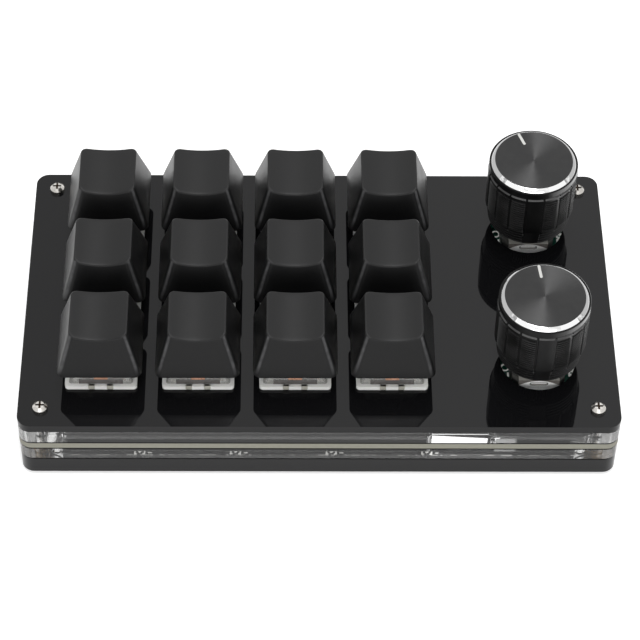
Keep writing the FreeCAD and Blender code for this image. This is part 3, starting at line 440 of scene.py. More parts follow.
@dataclass(frozen=True)
class ClearSheet:
    """Clear cast sheet: saw marks at its ends; painted shade as dark lines at the joints, a dark band on the
    front wall and a grey tint; painted light where the web near x = 33 is left clear.
    """

    name: str = "clear_acrylic_sheet"
    colour: Colour = (0.54, 0.54, 0.535)
    clear: Colour = (0.985, 0.985, 0.98)
    lit_web_middle: float = 33.0
    lit_web_reach: Pair = (9.0, 10.0)
    dark: Colour = (0.0, 0.0, 0.0)
    band_dark: float = 0.2
    band_from: Pair = (8.2, 8.8)
    band_to: Pair = (12.4, 13.6)
    band_ends: Pair = (54.0, 58.0)
    front_wall: float = -36.5
    gap_middle: float = 31.0
    gap_half: float = 7.0
    joint_shade_heights: tuple[float, ...] = (5.5, 9.5, 11.1)
    joint_shade_half: float = 0.36
    saw_ends: Pair = (57.5, 59.5)
    saw_between: float = 0.12
    saw_rough: float = 0.16

    def build(self) -> bpy.types.Material:
        """Build the material.

        Returns:
            The material.
        """
        shader = Shader(self.name)
        x, y, z = shader.place()
        sawn = shader.between(abs(x), self.saw_between, 1.0, *self.saw_ends)
        cut = shader.noise(0.7, 2.0, (1.0, 1.0, 0.1)) * sawn
        walls = 1.0 - shader.between(shader.facing_up(), 0.0, 1.0, 0.3, 0.6)
        haze = shader.between(shader.noise(3.0, 2.0), 0.0, 0.012)
        # Painted shade: black lines on the walls at the joints between the layers.
        joint_shade = abs(z - self.joint_shade_heights[0]) < self.joint_shade_half
        for height in self.joint_shade_heights[1:]:
            joint_shade = joint_shade.larger(abs(z - height) < self.joint_shade_half)
        joint_shade = joint_shade * walls
        # Painted shade: a black, partly metallic band along the front wall at the board's height, with a gap
        # at the web.
        shade_band = shader.between(z, 0.0, 1.0, *self.band_from) * shader.between(
            z, 1.0, 0.0, *self.band_to) * shader.between(abs(x), 1.0, 0.0, *self.band_ends)
        shade_band = shade_band * walls * (y < self.front_wall) * (abs(x - self.gap_middle) > self.gap_half)
        dimmed = shader.mix(shade_band, self.colour, self.dark)
        # The sheet's grey tint is painted shade; near the web at x = 33 it turns clear, as painted light.
        lit_web = shader.between(abs(x - self.lit_web_middle), 1.0, 0.0, *self.lit_web_reach)
        sheet = shader.mix(lit_web, dimmed, self.clear)
        shader.dress(base_color=shader.mix(joint_shade, sheet, self.dark),
                     metallic=joint_shade.larger(shade_band * self.band_dark),
                     roughness=haze + walls * sawn * self.saw_rough, ior=1.49,
                     transmission_weight=1.0)
        shader.bump(cut * walls, 0.03)
        return shader.material


@dataclass(frozen=True)
class CircuitSheet:
    """Green circuit board: lacquer over tracks, white marks that glow as painted light, pale cut edge, and a
    painted light green under each knob.
    """

    grid: KeyGrid = KeyGrid()
    name: str = "circuit_board_lacquer"
    green: Colour = (0.0, 0.028, 0.017)
    track_green: Colour = (0.002, 0.07, 0.042)
    painted_light_green: Colour = (0.01, 0.13, 0.085)
    marking: Colour = (0.82, 0.84, 0.8)
    cut_edge: Colour = (0.2, 0.195, 0.16)
    pale_edge: Colour = (0.3, 0.295, 0.25)
    margin: Colour = (0.012, 0.012, 0.012)
    glow_above: Colour = (0.18, 0.185, 0.175)
    glow_below: Colour = (0.75, 0.75, 0.72)
    no_glow: Colour = (0.0, 0.0, 0.0)
    margin_from: float = 28.0
    keys_right: float = 26.4
    middle_height: float = 10.3
    painted_light_radius: float = 9.5
    switch_half: Pair = (7.6, 7.6)
    switch_line: float = 0.11
    switch_corners: float = 10.5
    diode_place: Pair = (8.0, -10.3)
    diode_half: Pair = (1.05, 0.6)
    diode_line: float = 0.18
    diode_gap: float = 0.6
    diode_dot: float = 0.42
    diode_dash: Patch = (2.25, -0.3, 0.45, 0.14)
    dashes_y: float = -30.1
    dashes_half: float = 0.12
    dashes_glow: float = 0.5
    pad_place: Pair = (-6.6, 2.8)
    pad_radius: float = 0.85
    pad_line: float = 0.2
    patches: tuple[Patch, ...] = ((8.3, 1.7, 0.9, 1.4), (-5.5, 0.8, 0.7, 0.6))
    track_pitch: float = 1.7
    track_half: float = 0.32
    track_wander: float = 1.2

    def marks_by_keys(self, shader: Shader) -> Signal:
        """Draw the outlines of the switches above, and the marks of small parts below.

        Args:
            shader: The board's shader.

        Returns:
            1 on the marks.
        """
        x, y, z = shader.place()
        under = z < self.middle_height
        key_x, key_y = self.grid.cells(x, y)
        switch = outline(key_x, key_y, self.switch_half, self.switch_line) * (
            abs(key_x) + abs(key_y) > self.switch_corners)
        diode_x, diode_y = self.grid.cells(x, y, self.diode_place)
        body = outline(diode_x, diode_y, self.diode_half, self.diode_line) * (
            abs(diode_x) > self.diode_gap)
        dot = abs(diode_x) + abs(diode_y) < self.diode_dot
        diode = body.larger(dot + inside(diode_x, diode_y, self.diode_dash))
        dashes = (abs(y - self.dashes_y) < self.dashes_half) * (
            shader.noise(1.3, 2.0, (1.0, 0.1, 0.1)) > 0.5)
        marks = (x < self.keys_right) * (switch * (1.0 - under) + diode * under)
        return marks.larger(dashes * under * self.dashes_glow)

    def marks_by_knobs(self, shader: Shader) -> Signal:
        """Draw the ring round a hole and the patchy white marks beside each knob.

        Args:
            shader: The board's shader.

        Returns:
            1 on the marks.
        """
        across, along, _ = shader.from_knob()
        hole_x, hole_y = across - self.pad_place[0], along - self.pad_place[1]
        marks = abs((hole_x * hole_x + hole_y * hole_y).root() - self.pad_radius) < self.pad_line
        bits = shader.noise(0.7, 1.0) > 0.42
        for patch in self.patches:
            marks = marks.larger(inside(across, along, patch) * bits)
        return marks

    def build(self) -> bpy.types.Material:
        """Build the material.

        Returns:
            The material.
        """
        shader = Shader(self.name)
        x, y, z = shader.place()
        by_knobs = 1.0 - (x < self.keys_right)
        marks = self.marks_by_keys(shader).larger(by_knobs * self.marks_by_knobs(shader))
        wander = shader.noise(14.0, 0.0) * self.track_wander
        tracks = (abs((y + wander).cell(0.0, self.track_pitch)) < self.track_half) * (
            shader.noise(11.0, 1.0) > 0.47)
        lacquer = shader.mix(tracks, self.green, self.track_green)
        cloud = shader.mix(shader.between(shader.noise(4.0), 0.0, 0.25), lacquer, self.track_green)
        # Painted light: the green is lighter round each knob's axis, to lift the shade under the knob.
        _, _, away = shader.from_knob()
        lit = shader.mix((away < self.painted_light_radius) * by_knobs, cloud, self.painted_light_green)
        ground = shader.mix(abs(y) > self.margin_from, lit, self.margin)
        faces = shader.mix(marks, ground, self.marking)
        level = shader.between(shader.facing_up(), 0.0, 1.0, 0.3, 0.6)
        # Painted light: the marks glow, faintly on top and brightly below, though no lamp lights them.
        glow = shader.mix(z < self.middle_height, self.glow_above, self.glow_below)
        edge = shader.mix(shader.noise(0.5, 3.0, (1.0, 1.0, 4.0)), self.cut_edge, self.pale_edge)
        shader.dress(base_color=shader.mix(level, edge, faces),
                     roughness=shader.between(level, 0.75, 0.28, 0.0, 1.0) + marks * 0.25,
                     emission_color=shader.mix(marks * level, self.no_glow, glow),
                     emission_strength=1.0, specular_ior_level=0.2)
        shader.bump(tracks * 0.6 + marks * 0.4, 0.03)
        return shader.material


@dataclass(frozen=True)
class MouldedPlastic:
    """Moulded plastic with a fine eroded texture."""

    name: str
    colour: Colour
    mottle: Colour
    rough: Pair = (0.42, 0.52)
    texture_size: float = 0.16
    texture_depth: float = 0.006
    milky: float = 0.0
    milky_reach: float = 1.2
    gloss: float = 0.5

    def build(self) -> bpy.types.Material:
        """Build the material.

        Returns:
            The material.
        """
        shader = Shader(self.name)
        fine = shader.noise(self.texture_size, 2.0)
        broad = shader.noise(5.0, 3.0)
        colour = shader.mix(shader.between(broad, 0.0, 1.0), self.colour, self.mottle)
        shader.dress(base_color=colour, roughness=shader.between(broad, *self.rough),
                     subsurface_weight=self.milky, specular_ior_level=self.gloss)
        if self.milky:
            shader.dress(subsurface_radius=(1.0, 1.0, 0.9), subsurface_scale=self.milky_reach * MM)
        shader.bump(fine, self.texture_depth)
        return shader.material


@dataclass(frozen=True)
class CapPlastic:
    """Satin black keycap plastic: speckled, with painted highlights on the front ridges and painted sheen by
    facing, none on the fronts.
    """

    name: str = "satin_black_cap_plastic"
    colour: Colour = (0.0042, 0.0042, 0.0044)
    speckle: Colour = (0.0072, 0.0072, 0.0074)
    ridge_highlight: Colour = (0.1, 0.1, 0.103)
    front_gloss: float = 0.19
    top_coat: float = 0.22
    side_coat: float = 0.38

    def build(self) -> bpy.types.Material:
        """Build the material.

        Returns:
            The material.
        """
        shader = Shader(self.name)
        fine = shader.noise(0.2, 2.0)
        broad = shader.noise(5.0, 3.0)
        # Painted sheen and shade by facing: the coat is strongest on the sides, weaker on the tops and absent
        # on the fronts.
        front = shader.between(shader.facing_front(), 0.0, 1.0, 0.3, 0.8)
        coat = shader.between(shader.facing_up(), self.side_coat, self.top_coat, 0.4, 0.8)
        # Painted highlight: a lighter colour along the ridges painted on the mesh.
        ridge = shader.painted("ridge") * shader.between(shader.noise(1.4, 2.0), 0.5, 1.0)
        colour = shader.mix(shader.between(fine, 0.0, 1.0, 0.5, 0.75), self.colour, self.speckle)
        rough = shader.between(broad, 0.37, 0.43)
        shader.dress(base_color=shader.mix(ridge, colour, self.ridge_highlight), roughness=rough,
                     specular_ior_level=self.front_gloss, coat_roughness=0.4,
                     coat_weight=(1.0 - front) * coat)
        shader.bump(fine, 0.009)
        return shader.material


@dataclass(frozen=True)
class AnodisedSide:
    """Black anodised aluminium of the knobs' sides, dark to the left and lit to the right."""

    name: str
    colour: Colour
    worn: Colour
    gloss: float
    right_coat: float
    lit_from: Pair = (0.0, 0.6)

    def build(self) -> bpy.types.Material:
        """Build the material.

        Returns:
            The material.
        """
        shader = Shader(self.name)
        clouds = shader.noise(5.0, 3.0)
        lit = shader.between(shader.facing_right(), 0.0, self.right_coat, *self.lit_from)
        colour = shader.mix(shader.between(clouds, 0.0, 1.0), self.colour, self.worn)
        shader.dress(base_color=colour, roughness=shader.between(clouds, 0.3, 0.4),
                     specular_ior_level=self.gloss, coat_weight=lit, coat_roughness=0.25)
        shader.bump(shader.noise(0.3, 2.0), 0.01)
        return shader.material


@dataclass(frozen=True)
class SmokyCover:
    """Half-clear grey plastic of the switch covers."""

    name: str = "smoky_cover_plastic"
    colour: Colour = (0.72, 0.71, 0.67)
    cloud: Colour = (0.86, 0.86, 0.83)
    clearness: float = 0.75

    def build(self) -> bpy.types.Material:
        """Build the material.

        Returns:
            The material.
        """
        shader = Shader(self.name)
        clouds = shader.noise(2.0, 2.0)
        colour = shader.mix(shader.between(clouds, 0.0, 1.0), self.colour, self.cloud)
        shader.dress(base_color=colour, roughness=shader.between(clouds, 0.1, 0.22), ior=1.5,
                     transmission_weight=self.clearness)
        shader.bump(shader.noise(0.3), 0.006)
        return shader.material


@dataclass(frozen=True)
class WorkedMetal:
    """Bare or plated metal with its working marks."""

    name: str
    colour: Colour
    tarnish: Colour
    grain: Grain = Grain.CAST
    rough: Pair = (0.22, 0.36)
    grain_axis: Point = (1.0, 1.0, 1.0)
    soiled: Pair | None = None
    soil: Colour = (0.05, 0.035, 0.025)

    def build(self) -> bpy.types.Material:
        """Build the material.

        Returns:
            The material.
        """
        shader = Shader(self.name)
        size, depth = {Grain.CAST: (0.5, 0.012), Grain.DRAWN: (0.25, 0.006)}[self.grain]
        marks = shader.noise(size, 3.0, self.grain_axis)
        clouds = shader.noise(2.5, 3.0)
        colour = shader.mix(shader.between(clouds, 0.0, 1.0), self.colour, self.tarnish)
        # Painted shade: level faces between these heights, the floor of the screws' recess, are darkened.
        if self.soiled:
            _, _, z = shader.place()
            hollow = (z > self.soiled[0]) * (z < self.soiled[1]) * shader.facing_up()
            colour = shader.mix(hollow, colour, self.soil)
        shader.dress(base_color=colour, metallic=1.0,
                     roughness=shader.between(marks, *self.rough))
        shader.bump(marks, depth)
        return shader.material


@dataclass(frozen=True)
class BracketSteel:
    """Tinned sheet of the encoder brackets: bright tabs, painted shade on the tops, in the corners and round
    the slot, and a painted reflection of the knob above an arch.
    """

    name: str = "tinned_bracket_steel"
    bright: Colour = (0.96, 0.96, 0.95)
    dull_and_top_shade: Colour = (0.42, 0.41, 0.38)
    shade: Colour = (0.12, 0.11, 0.1)
    soil: Colour = (0.06, 0.06, 0.055)
    arch_top: float = 17.7
    arch_fall: float = 0.0775
    tab_half: float = 4.45
    slot_height: float = 16.7
    slot_half: Pair = (1.45, 0.45)
    slot_line: float = 0.13

    def build(self) -> bpy.types.Material:
        """Build the material.

        Returns:
            The material.
        """
        shader = Shader(self.name)
        across, _, _ = shader.from_knob()
        _, _, z = shader.place()
        past = (abs(across) - self.slot_half[0]).larger(0.0)
        rise = z - self.slot_height
        edge = abs((past * past + rise * rise).root() - self.slot_half[1]) < self.slot_line
        marks = shader.noise(0.3, 3.0)
        level = shader.between(shader.facing_up(), 0.0, 1.0, 0.3, 0.7)
        face = shader.mix(shader.between(marks, 0.0, 0.2), self.bright, self.dull_and_top_shade)
        # Painted reflection of the knob's dark foot on the tab, above an arch.
        shaded = (z > self.arch_top - across * across * self.arch_fall) * (1.0 - level)
        # Painted shade: level tops take the darker colour, which also mottles the tabs a little.
        top = shader.mix(level, shader.mix(shaded, face, self.shade), self.dull_and_top_shade)
        # Painted shade: the tab's corners and the edge round its slot take the dark colour.
        corner = (abs(across) > self.tab_half).larger(edge * (1.0 - level))
        shader.dress(base_color=shader.mix(corner, top, self.soil), metallic=0.1,
                     roughness=shader.between(marks, 0.5, 0.65))
        shader.bump(marks, 0.01)
        return shader.material


@dataclass(frozen=True)
class TurnedAnodised:
    """Black anodised aluminium, turned, so that light fans out from the axis."""

    name: str = "black_anodised_turned"
    colour: Colour = (0.008, 0.008, 0.0085)
    worn: Colour = (0.012, 0.012, 0.012)
    anisotropy: float = 0.95
    turning: float = 42.0
    turning_depth: float = 0.04
    dimple_radius: float = 0.5
    dimple_line: float = 0.12
    dimple_depth: float = 0.8

    def build(self) -> bpy.types.Material:
        """Build the material.

        Returns:
            The material.
        """
        shader = Shader(self.name)
        _, _, away = shader.from_knob()
        clouds = shader.noise(1.6, 3.0)
        colour = shader.mix(shader.between(clouds, 0.0, 1.0), self.colour, self.worn)
        shader.dress(base_color=colour, anisotropic=self.anisotropy, anisotropic_rotation=0.25,
                     roughness=shader.between(clouds, 0.3, 0.34))
        dimple = shader.between(abs(away - self.dimple_radius), self.dimple_depth, 0.0,
                                0.0, self.dimple_line)
        shader.bump((away * self.turning).sine() * self.turning_depth + dimple, 0.03)
        return shader.material


@dataclass(frozen=True)
class BrightCut:
    """Bright chamfer cut through the black, with painted reflections: clear in front, dark blotches beside,
    grey behind.
    """

    name: str = "bright_cut_aluminium"
    clear: Colour = (0.95, 0.95, 0.95)
    grey: Colour = (0.5, 0.5, 0.5)
    dark_reflection: Colour = (0.28, 0.28, 0.28)
    dark_reflection_from: float = 0.72
    dark_reflection_to: float = 0.84
    streak_to: float = 0.3

    def build(self) -> bpy.types.Material:
        """Build the material.

        Returns:
            The material.
        """
        shader = Shader(self.name)
        across, along, away = shader.from_knob()
        side = abs(across) / away
        # Painted reflections of darker surroundings: grey behind and dark blotches beside.
        behind = (along > 0.0).larger(side > self.dark_reflection_to)
        dark_reflected = (side > self.dark_reflection_from) * (1.0 - behind) * shader.between(
            shader.noise(0.9, 1.0), 0.2, 0.9, 0.3, 0.7)
        streak = (side < self.streak_to) * (1.0 - behind) * shader.between(
            shader.noise(0.9, 1.0, (0.3, 3.0, 3.0)), 0.0, 0.5)
        base = shader.mix(behind.larger(streak), self.clear, self.grey)
        shader.dress(base_color=shader.mix(dark_reflected, base, self.dark_reflection), metallic=1.0,
                     roughness=shader.between(shader.noise(0.8), 0.05, 0.14))
        return shader.material


class Finishes:
    """Every finish of the keypad, by the record's slot, and the few that only dressing needs."""

    def __init__(self) -> None:
        """Build all materials."""
        plastic, metal = MouldedPlastic, WorkedMetal
        by_slot = {
            "black_sheet": GlossSheet(),
            "clear_sheet": ClearSheet(),
            "board_green": CircuitSheet(),
            "foot_rubber": plastic("black_foot_rubber", (0.018, 0.018, 0.018), (0.03, 0.03, 0.029),
                                   (0.65, 0.85), 0.3, 0.03),
            "nickel_steel": metal("nickel_plated_steel", (0.62, 0.6, 0.57), (0.5, 0.48, 0.45),
                                  Grain.DRAWN, (0.18, 0.3), soiled=(17.2, 17.8)),
            "brass": metal("machined_brass", (0.72, 0.5, 0.22), (0.6, 0.38, 0.15), Grain.DRAWN,
                           (0.2, 0.35)),
            "milky_plastic": plastic("milky_switch_plastic", (0.9, 0.9, 0.87), (0.85, 0.85, 0.82),
                                     (0.3, 0.42), 0.4, 0.004, 0.3),
            "contact_copper": metal("contact_copper", (0.72, 0.4, 0.28), (0.55, 0.3, 0.2),
                                    Grain.DRAWN, (0.25, 0.4)),
            "spring_steel": metal("spring_steel", (0.5, 0.5, 0.49), (0.4, 0.38, 0.35),
                                  Grain.DRAWN, (0.2, 0.32)),
            "stem_plastic": plastic("slippery_stem_plastic", (0.05, 0.05, 0.052),
                                    (0.06, 0.06, 0.06), (0.3, 0.4), 0.3, 0.004),
            "cap_plastic": CapPlastic(),
            "chip_epoxy": plastic("chip_epoxy", (0.02, 0.02, 0.021), (0.03, 0.03, 0.03),
                                  (0.5, 0.7), 0.1, 0.012),
            "socket_steel": metal("socket_steel", (0.6, 0.6, 0.59), (0.48, 0.48, 0.47), Grain.CAST,
                                  (0.25, 0.38)),
            "insulator_plastic": plastic("black_insulator", (0.015, 0.015, 0.016),
                                         (0.03, 0.03, 0.03), (0.4, 0.5)),
            "encoder_plastic": plastic("encoder_plastic", (0.02, 0.02, 0.02), (0.03, 0.03, 0.03),
                                       (0.4, 0.55)),
            "bracket_steel": BracketSteel(),
            "bushing_zinc": metal("cast_bushing_zinc", (0.66, 0.66, 0.66), (0.52, 0.52, 0.52),
                                  Grain.CAST, (0.3, 0.42)),
            "terminal_tin": metal("tin_plating", (0.78, 0.77, 0.74), (0.6, 0.6, 0.57), Grain.CAST,
                                  (0.3, 0.45)),
            "shaft_aluminium": metal("drawn_shaft_aluminium", (0.7, 0.7, 0.7), (0.6, 0.6, 0.6),
                                     Grain.DRAWN, (0.22, 0.32), (1.0, 1.0, 0.1)),
            "knob_aluminium": TurnedAnodised(),
        }
        self.by_slot = {slot: finish.build() for slot, finish in by_slot.items()}
        self.by_node = {"switch_upper_housings": SmokyCover().build()}
        self.bright_ring = BrightCut().build()
        self.knob_side = AnodisedSide("black_anodised_side", (0.003, 0.003, 0.0032),
                                      (0.007, 0.007, 0.007), 0.1, 1.0).build()
        self.knob_ribs = AnodisedSide("black_anodised_ribs", (0.006, 0.006, 0.006),
                                      (0.022, 0.022, 0.022), 0.14, 0.95, (-0.8, -0.2)).build()
        # Painted highlight: a lighter anodised finish on the thin lines at the knobs' shoulders and foot
        # lines.
        self.knob_edge_highlights = AnodisedSide("anodised_edge_highlights", (0.02, 0.02, 0.02),
                                       (0.06, 0.06, 0.06), 0.25, 0.8, (-0.8, 0.0)).build()
        self.pointer_paint = plastic("white_pointer_paint", (0.6, 0.6, 0.58), (0.5, 0.5, 0.48),
                                     (0.4, 0.5)).build()
        # Painted shade: a dark panel stands in for the depth of each switch's window.
        self.window_painted_shade = plastic("switch_window_painted_shade", (0.075, 0.068, 0.064),
                                   (0.045, 0.04, 0.038), (0.25, 0.4)).build()
        self.clip_grey = plastic("smoky_clip_plastic", (0.5, 0.49, 0.43), (0.3, 0.29, 0.25),
                                 (0.25, 0.35)).build()

    def dress_nodes(self, record: dict) -> int:
        """Give every CAD node the finish of its slot.

        Args:
            record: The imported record.

        Returns:
            How many nodes were dressed.
        """
        for part in record["subparts"]:
            mesh = frame["nodes"][part["node"]].data
            mesh.materials.clear()
            mesh.materials.append(self.by_node.get(part["node"],
                                                   self.by_slot[part["material_slot"]]))
        return len(record["subparts"])


class Shell:
    """Collects the points and faces of one closed piece, in millimetres."""

    def __init__(self) -> None:
        """Start with no points."""
        self.points: list[Point] = []
        self.faces: list[tuple[int, ...]] = []

    def ring(self, points: Iterable[Point]) -> list[int]:
        """Add points.

        Args:
            points: The points.

        Returns:
            Their numbers.
        """
        first = len(self.points)
        self.points.extend(points)
        return list(range(first, len(self.points)))

    def skin(self, *rings: Sequence[int]) -> None:
        """Join closed rings, one after the other.

        Args:
            rings: Rings of the same length.
        """
        for low, high in zip(rings, rings[1:]):
            for here in range(len(low)):
                there = (here + 1) % len(low)
                self.faces.append((low[here], low[there], high[there], high[here]))

    def close(self, ring: Sequence[int]) -> None:
        """Close a ring with one face."""
        self.faces.append(tuple(ring))

    def block(self, *rings: Sequence[int]) -> None:
        """Join closed rings and close the first and the last.

        Args:
            rings: Rings of the same length.
        """
        self.skin(*rings)
        self.close(rings[0])
        self.close(rings[-1])

    def fan(self, ring: Sequence[int], point: Point) -> None:
        """Close a ring with triangles to one point.

        Args:
            ring: The ring.
            point: The point.
        """
        (middle,) = self.ring([point])
        for here in range(len(ring)):
            self.faces.append((ring[here], ring[(here + 1) % len(ring)], middle))

    def mesh(self, name: str) -> bpy.types.Mesh:
        """Turn the shell into a mesh in metres.

        Args:
            name: Name of the mesh.

        Returns:
            The mesh, with its faces outwards.
        """
        mesh = bpy.data.meshes.new(name)
        mesh.from_pydata([tuple(v * MM for v in p) for p in self.points], [], self.faces)
        return tidy_mesh(mesh)


def smooth(mesh: bpy.types.Mesh) -> bpy.types.Mesh:
    """Shade a mesh smooth between its sharp edges.

    Args:
        mesh: The mesh.

    Returns:
        The same mesh.
    """
    mesh.shade_smooth()
    mesh.set_sharp_from_angle(angle=math.radians(SHARP_ANGLE))
    return mesh


def tidy_mesh(mesh: bpy.types.Mesh, merge: float = 1e-6) -> bpy.types.Mesh:
    """Merge doubles, turn faces outwards and mark sharp edges.

    Args:
        mesh: The mesh.
        merge: Distance in metres below which points are merged.

    Returns:
        The same mesh.
    """
    grid = bmesh.new()
    grid.from_mesh(mesh)
    bmesh.ops.remove_doubles(grid, verts=grid.verts, dist=merge)
    bmesh.ops.recalc_face_normals(grid, faces=grid.faces)
    grid.to_mesh(mesh)
    grid.free()
    return smooth(mesh)


def add_piece(name: str, mesh: bpy.types.Mesh, material: bpy.types.Material, body: str,
              nodes: Sequence[str] = ()) -> bpy.types.Object:
    """Put a finished mesh in the scene as a piece of the keypad.

    Args:
        name: Name of the piece.
        mesh: Its mesh, in place.
        material: Its finish.
        body: The CAD body it rides on.
        nodes: CAD nodes that it stands for.

    Returns:
        The new object.
    """
    mesh.materials.clear()
    mesh.materials.append(material)
    piece = bpy.data.objects.new(name, mesh)
    bpy.context.scene.collection.objects.link(piece)
    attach(piece, body)
    if nodes:
        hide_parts(*nodes)
    return piece


def polar(radius: float, turn: float, height: float) -> Point:
    """Give the point at a turn in radians round the axis."""
    return (radius * math.cos(turn), radius * math.sin(turn), height)


def circle(radius: float, height: float, count: int) -> list[Point]:
    """Give the points of a level circle round the axis."""
    return [polar(radius, 2.0 * math.pi * step / count, height) for step in range(count)]


def rounded_ring(wide: float, deep: float, corner: float, side_steps: int = 8,
                 corner_steps: int = 5) -> list[Pair]:
    """Give the points of a rounded rectangle round the origin.

    Args:
        wide: Its width.
        deep: Its depth.
        corner: Radius of its corners.
        side_steps: Steps along each side.
        corner_steps: Steps round each corner.

    Returns:
        The points as (x, y), anticlockwise.
    """
    half_x, half_y = wide / 2.0 - corner, deep / 2.0 - corner
    corners = [(half_x, -half_y, -90.0), (half_x, half_y, 0.0), (-half_x, half_y, 90.0),
               (-half_x, -half_y, 180.0)]
    ring: list[Pair] = []
    for number, (x, y, start) in enumerate(corners):
        for step in range(corner_steps + 1):
            turn = math.radians(start + 90.0 * step / corner_steps)
            ring.append((x + corner * math.cos(turn), y + corner * math.sin(turn)))
        last = ring[-1]
        next_x, next_y, next_start = corners[(number + 1) % len(corners)]
        turn = math.radians(next_start)
        end = (next_x + corner * math.cos(turn), next_y + corner * math.sin(turn))
        for step in range(1, side_steps):
            ring.append(tuple(a + (b - a) * (step / side_steps) for a, b in zip(last, end)))
    return ring


class NodeTree(NodeMaker):
    """A Geometry Nodes tree with named inputs, ready to be baked into a plain mesh."""

    def __init__(self, name: str, inputs: dict[str, str]) -> None:
        """Start a tree.

        Args:
            name: Name of the tree.
            inputs: Socket type of each named input.
        """
        super().__init__(bpy.data.node_groups.new(name, "GeometryNodeTree"))
        face = self.tree.interface
        face.new_socket("Geometry", in_out="INPUT", socket_type="NodeSocketGeometry")
        self.keys = {label: face.new_socket(label, in_out="INPUT", socket_type=kind).identifier
                     for label, kind in inputs.items()}
        face.new_socket("Geometry", in_out="OUTPUT", socket_type="NodeSocketGeometry")
        self.start = self.node("NodeGroupInput")

    def finish(self, geometry: bpy.types.NodeSocket) -> None:
        """End the tree in Realize Instances and Set Material.

        Args:
            geometry: The geometry to hand out.
        """
        real = self.node("GeometryNodeRealizeInstances", None, {0: geometry})
        dressed = self.node("GeometryNodeSetMaterial", None,
                            {"Geometry": real.outputs[0],
                             "Material": self.start.outputs["Material"]})
        self.node("NodeGroupOutput", None, {0: dressed.outputs[0]})

    def bake(self, mesh: bpy.types.Mesh, values: dict[str, object], shift: Point
             ) -> bpy.types.Mesh:
        """Run the tree on a mesh.

        Args:
            mesh: The mesh that it starts from.
            values: Values of the named inputs.
            shift: Where the result goes, in millimetres.

        Returns:
            The result as a plain mesh.
        """
        holder = bpy.data.objects.new(mesh.name + "_holder", mesh)
        bpy.context.scene.collection.objects.link(holder)
        modifier = holder.modifiers.new("nodes", "NODES")
        modifier.node_group = self.tree
        for label, value in values.items():
            modifier[self.keys[label]] = value
        graph = bpy.context.evaluated_depsgraph_get()
        result = bpy.data.meshes.new_from_object(holder.evaluated_get(graph), depsgraph=graph)
        holder.modifiers.clear()
        bpy.data.objects.remove(holder)
        result.transform(Matrix.Translation(Vector(shift) * MM))
        return smooth(result)


class RepeatTree(NodeTree):
    """Repeats a shape in a row, and the row in a second row or round the axis."""

    def __init__(self) -> None:
        """Build the nodes."""
        super().__init__("repeat_shape", {
            "Row Count": "NodeSocketInt", "Row Step": "NodeSocketVector",
            "Rows Count": "NodeSocketInt", "Rows Step": "NodeSocketVector",
            "Rows Turn": "NodeSocketFloat", "Material": "NodeSocketMaterial"})
        given = self.start.outputs
        row = self.node("GeometryNodeMeshLine", {"mode": "OFFSET", "count_mode": "TOTAL"},
                        {"Count": given["Row Count"], "Offset": given["Row Step"]})
        one_row = self.node("GeometryNodeInstanceOnPoints", None,
                            {"Points": row.outputs[0], "Instance": given["Geometry"]})
        real_row = self.node("GeometryNodeRealizeInstances", None, {0: one_row.outputs[0]})
        rows = self.node("GeometryNodeMeshLine", {"mode": "OFFSET", "count_mode": "TOTAL"},
                         {"Count": given["Rows Count"], "Offset": given["Rows Step"]})
        number = self.node("GeometryNodeInputIndex")
        angle = self.node("ShaderNodeMath", {"operation": "MULTIPLY"},
                          {0: number.outputs[0], 1: given["Rows Turn"]})
        about_z = self.node("ShaderNodeCombineXYZ", None, {"Z": angle.outputs[0]})
        turn = self.node("FunctionNodeEulerToRotation", None, {0: about_z.outputs[0]})
        all_rows = self.node("GeometryNodeInstanceOnPoints", None,
                             {"Points": rows.outputs[0], "Instance": real_row.outputs[0],
                              "Rotation": turn.outputs[0]})
        self.finish(all_rows.outputs[0])

    def repeat(self, mesh: bpy.types.Mesh, material: bpy.types.Material, row: tuple[int, Point],
               rows: tuple[int, Point], turn: float, shift: Point) -> bpy.types.Mesh:
        """Repeat a mesh.

        Args:
            mesh: The shape, round the origin.
            material: Its finish.
            row: Count and step in millimetres along the row.
            rows: Count and step in millimetres of the rows.
            turn: Turn of each row after the last, in degrees.
            shift: Where the first shape goes, in millimetres.

        Returns:
            All copies as one mesh.
        """
        values = {"Row Count": row[0], "Row Step": [v * MM for v in row[1]],
                  "Rows Count": rows[0], "Rows Step": [v * MM for v in rows[1]],
                  "Rows Turn": math.radians(turn), "Material": material}
        return self.bake(mesh, values, shift)


class CoilTree(NodeTree):
    """Winds a wire into a coil spring."""

    def __init__(self) -> None:
        """Build the nodes."""
        super().__init__("wind_coil", {
            "Turns": "NodeSocketFloat", "Wire": "NodeSocketFloat", "Radius": "NodeSocketFloat",
            "Height": "NodeSocketFloat", "Material": "NodeSocketMaterial"})
        given = self.start.outputs
        line = self.node("GeometryNodeCurveSpiral", None, {
            "Resolution": 22, "Rotations": given["Turns"], "Start Radius": given["Radius"],
            "End Radius": given["Radius"], "Height": given["Height"]})
        wire = self.node("GeometryNodeCurvePrimitiveCircle", None,
                         {"Resolution": 8, "Radius": given["Wire"]})
        coil = self.node("GeometryNodeCurveToMesh", None,
                         {"Curve": line.outputs[0], "Profile Curve": wire.outputs[0],
                          "Fill Caps": True})
        self.finish(coil.outputs[0])


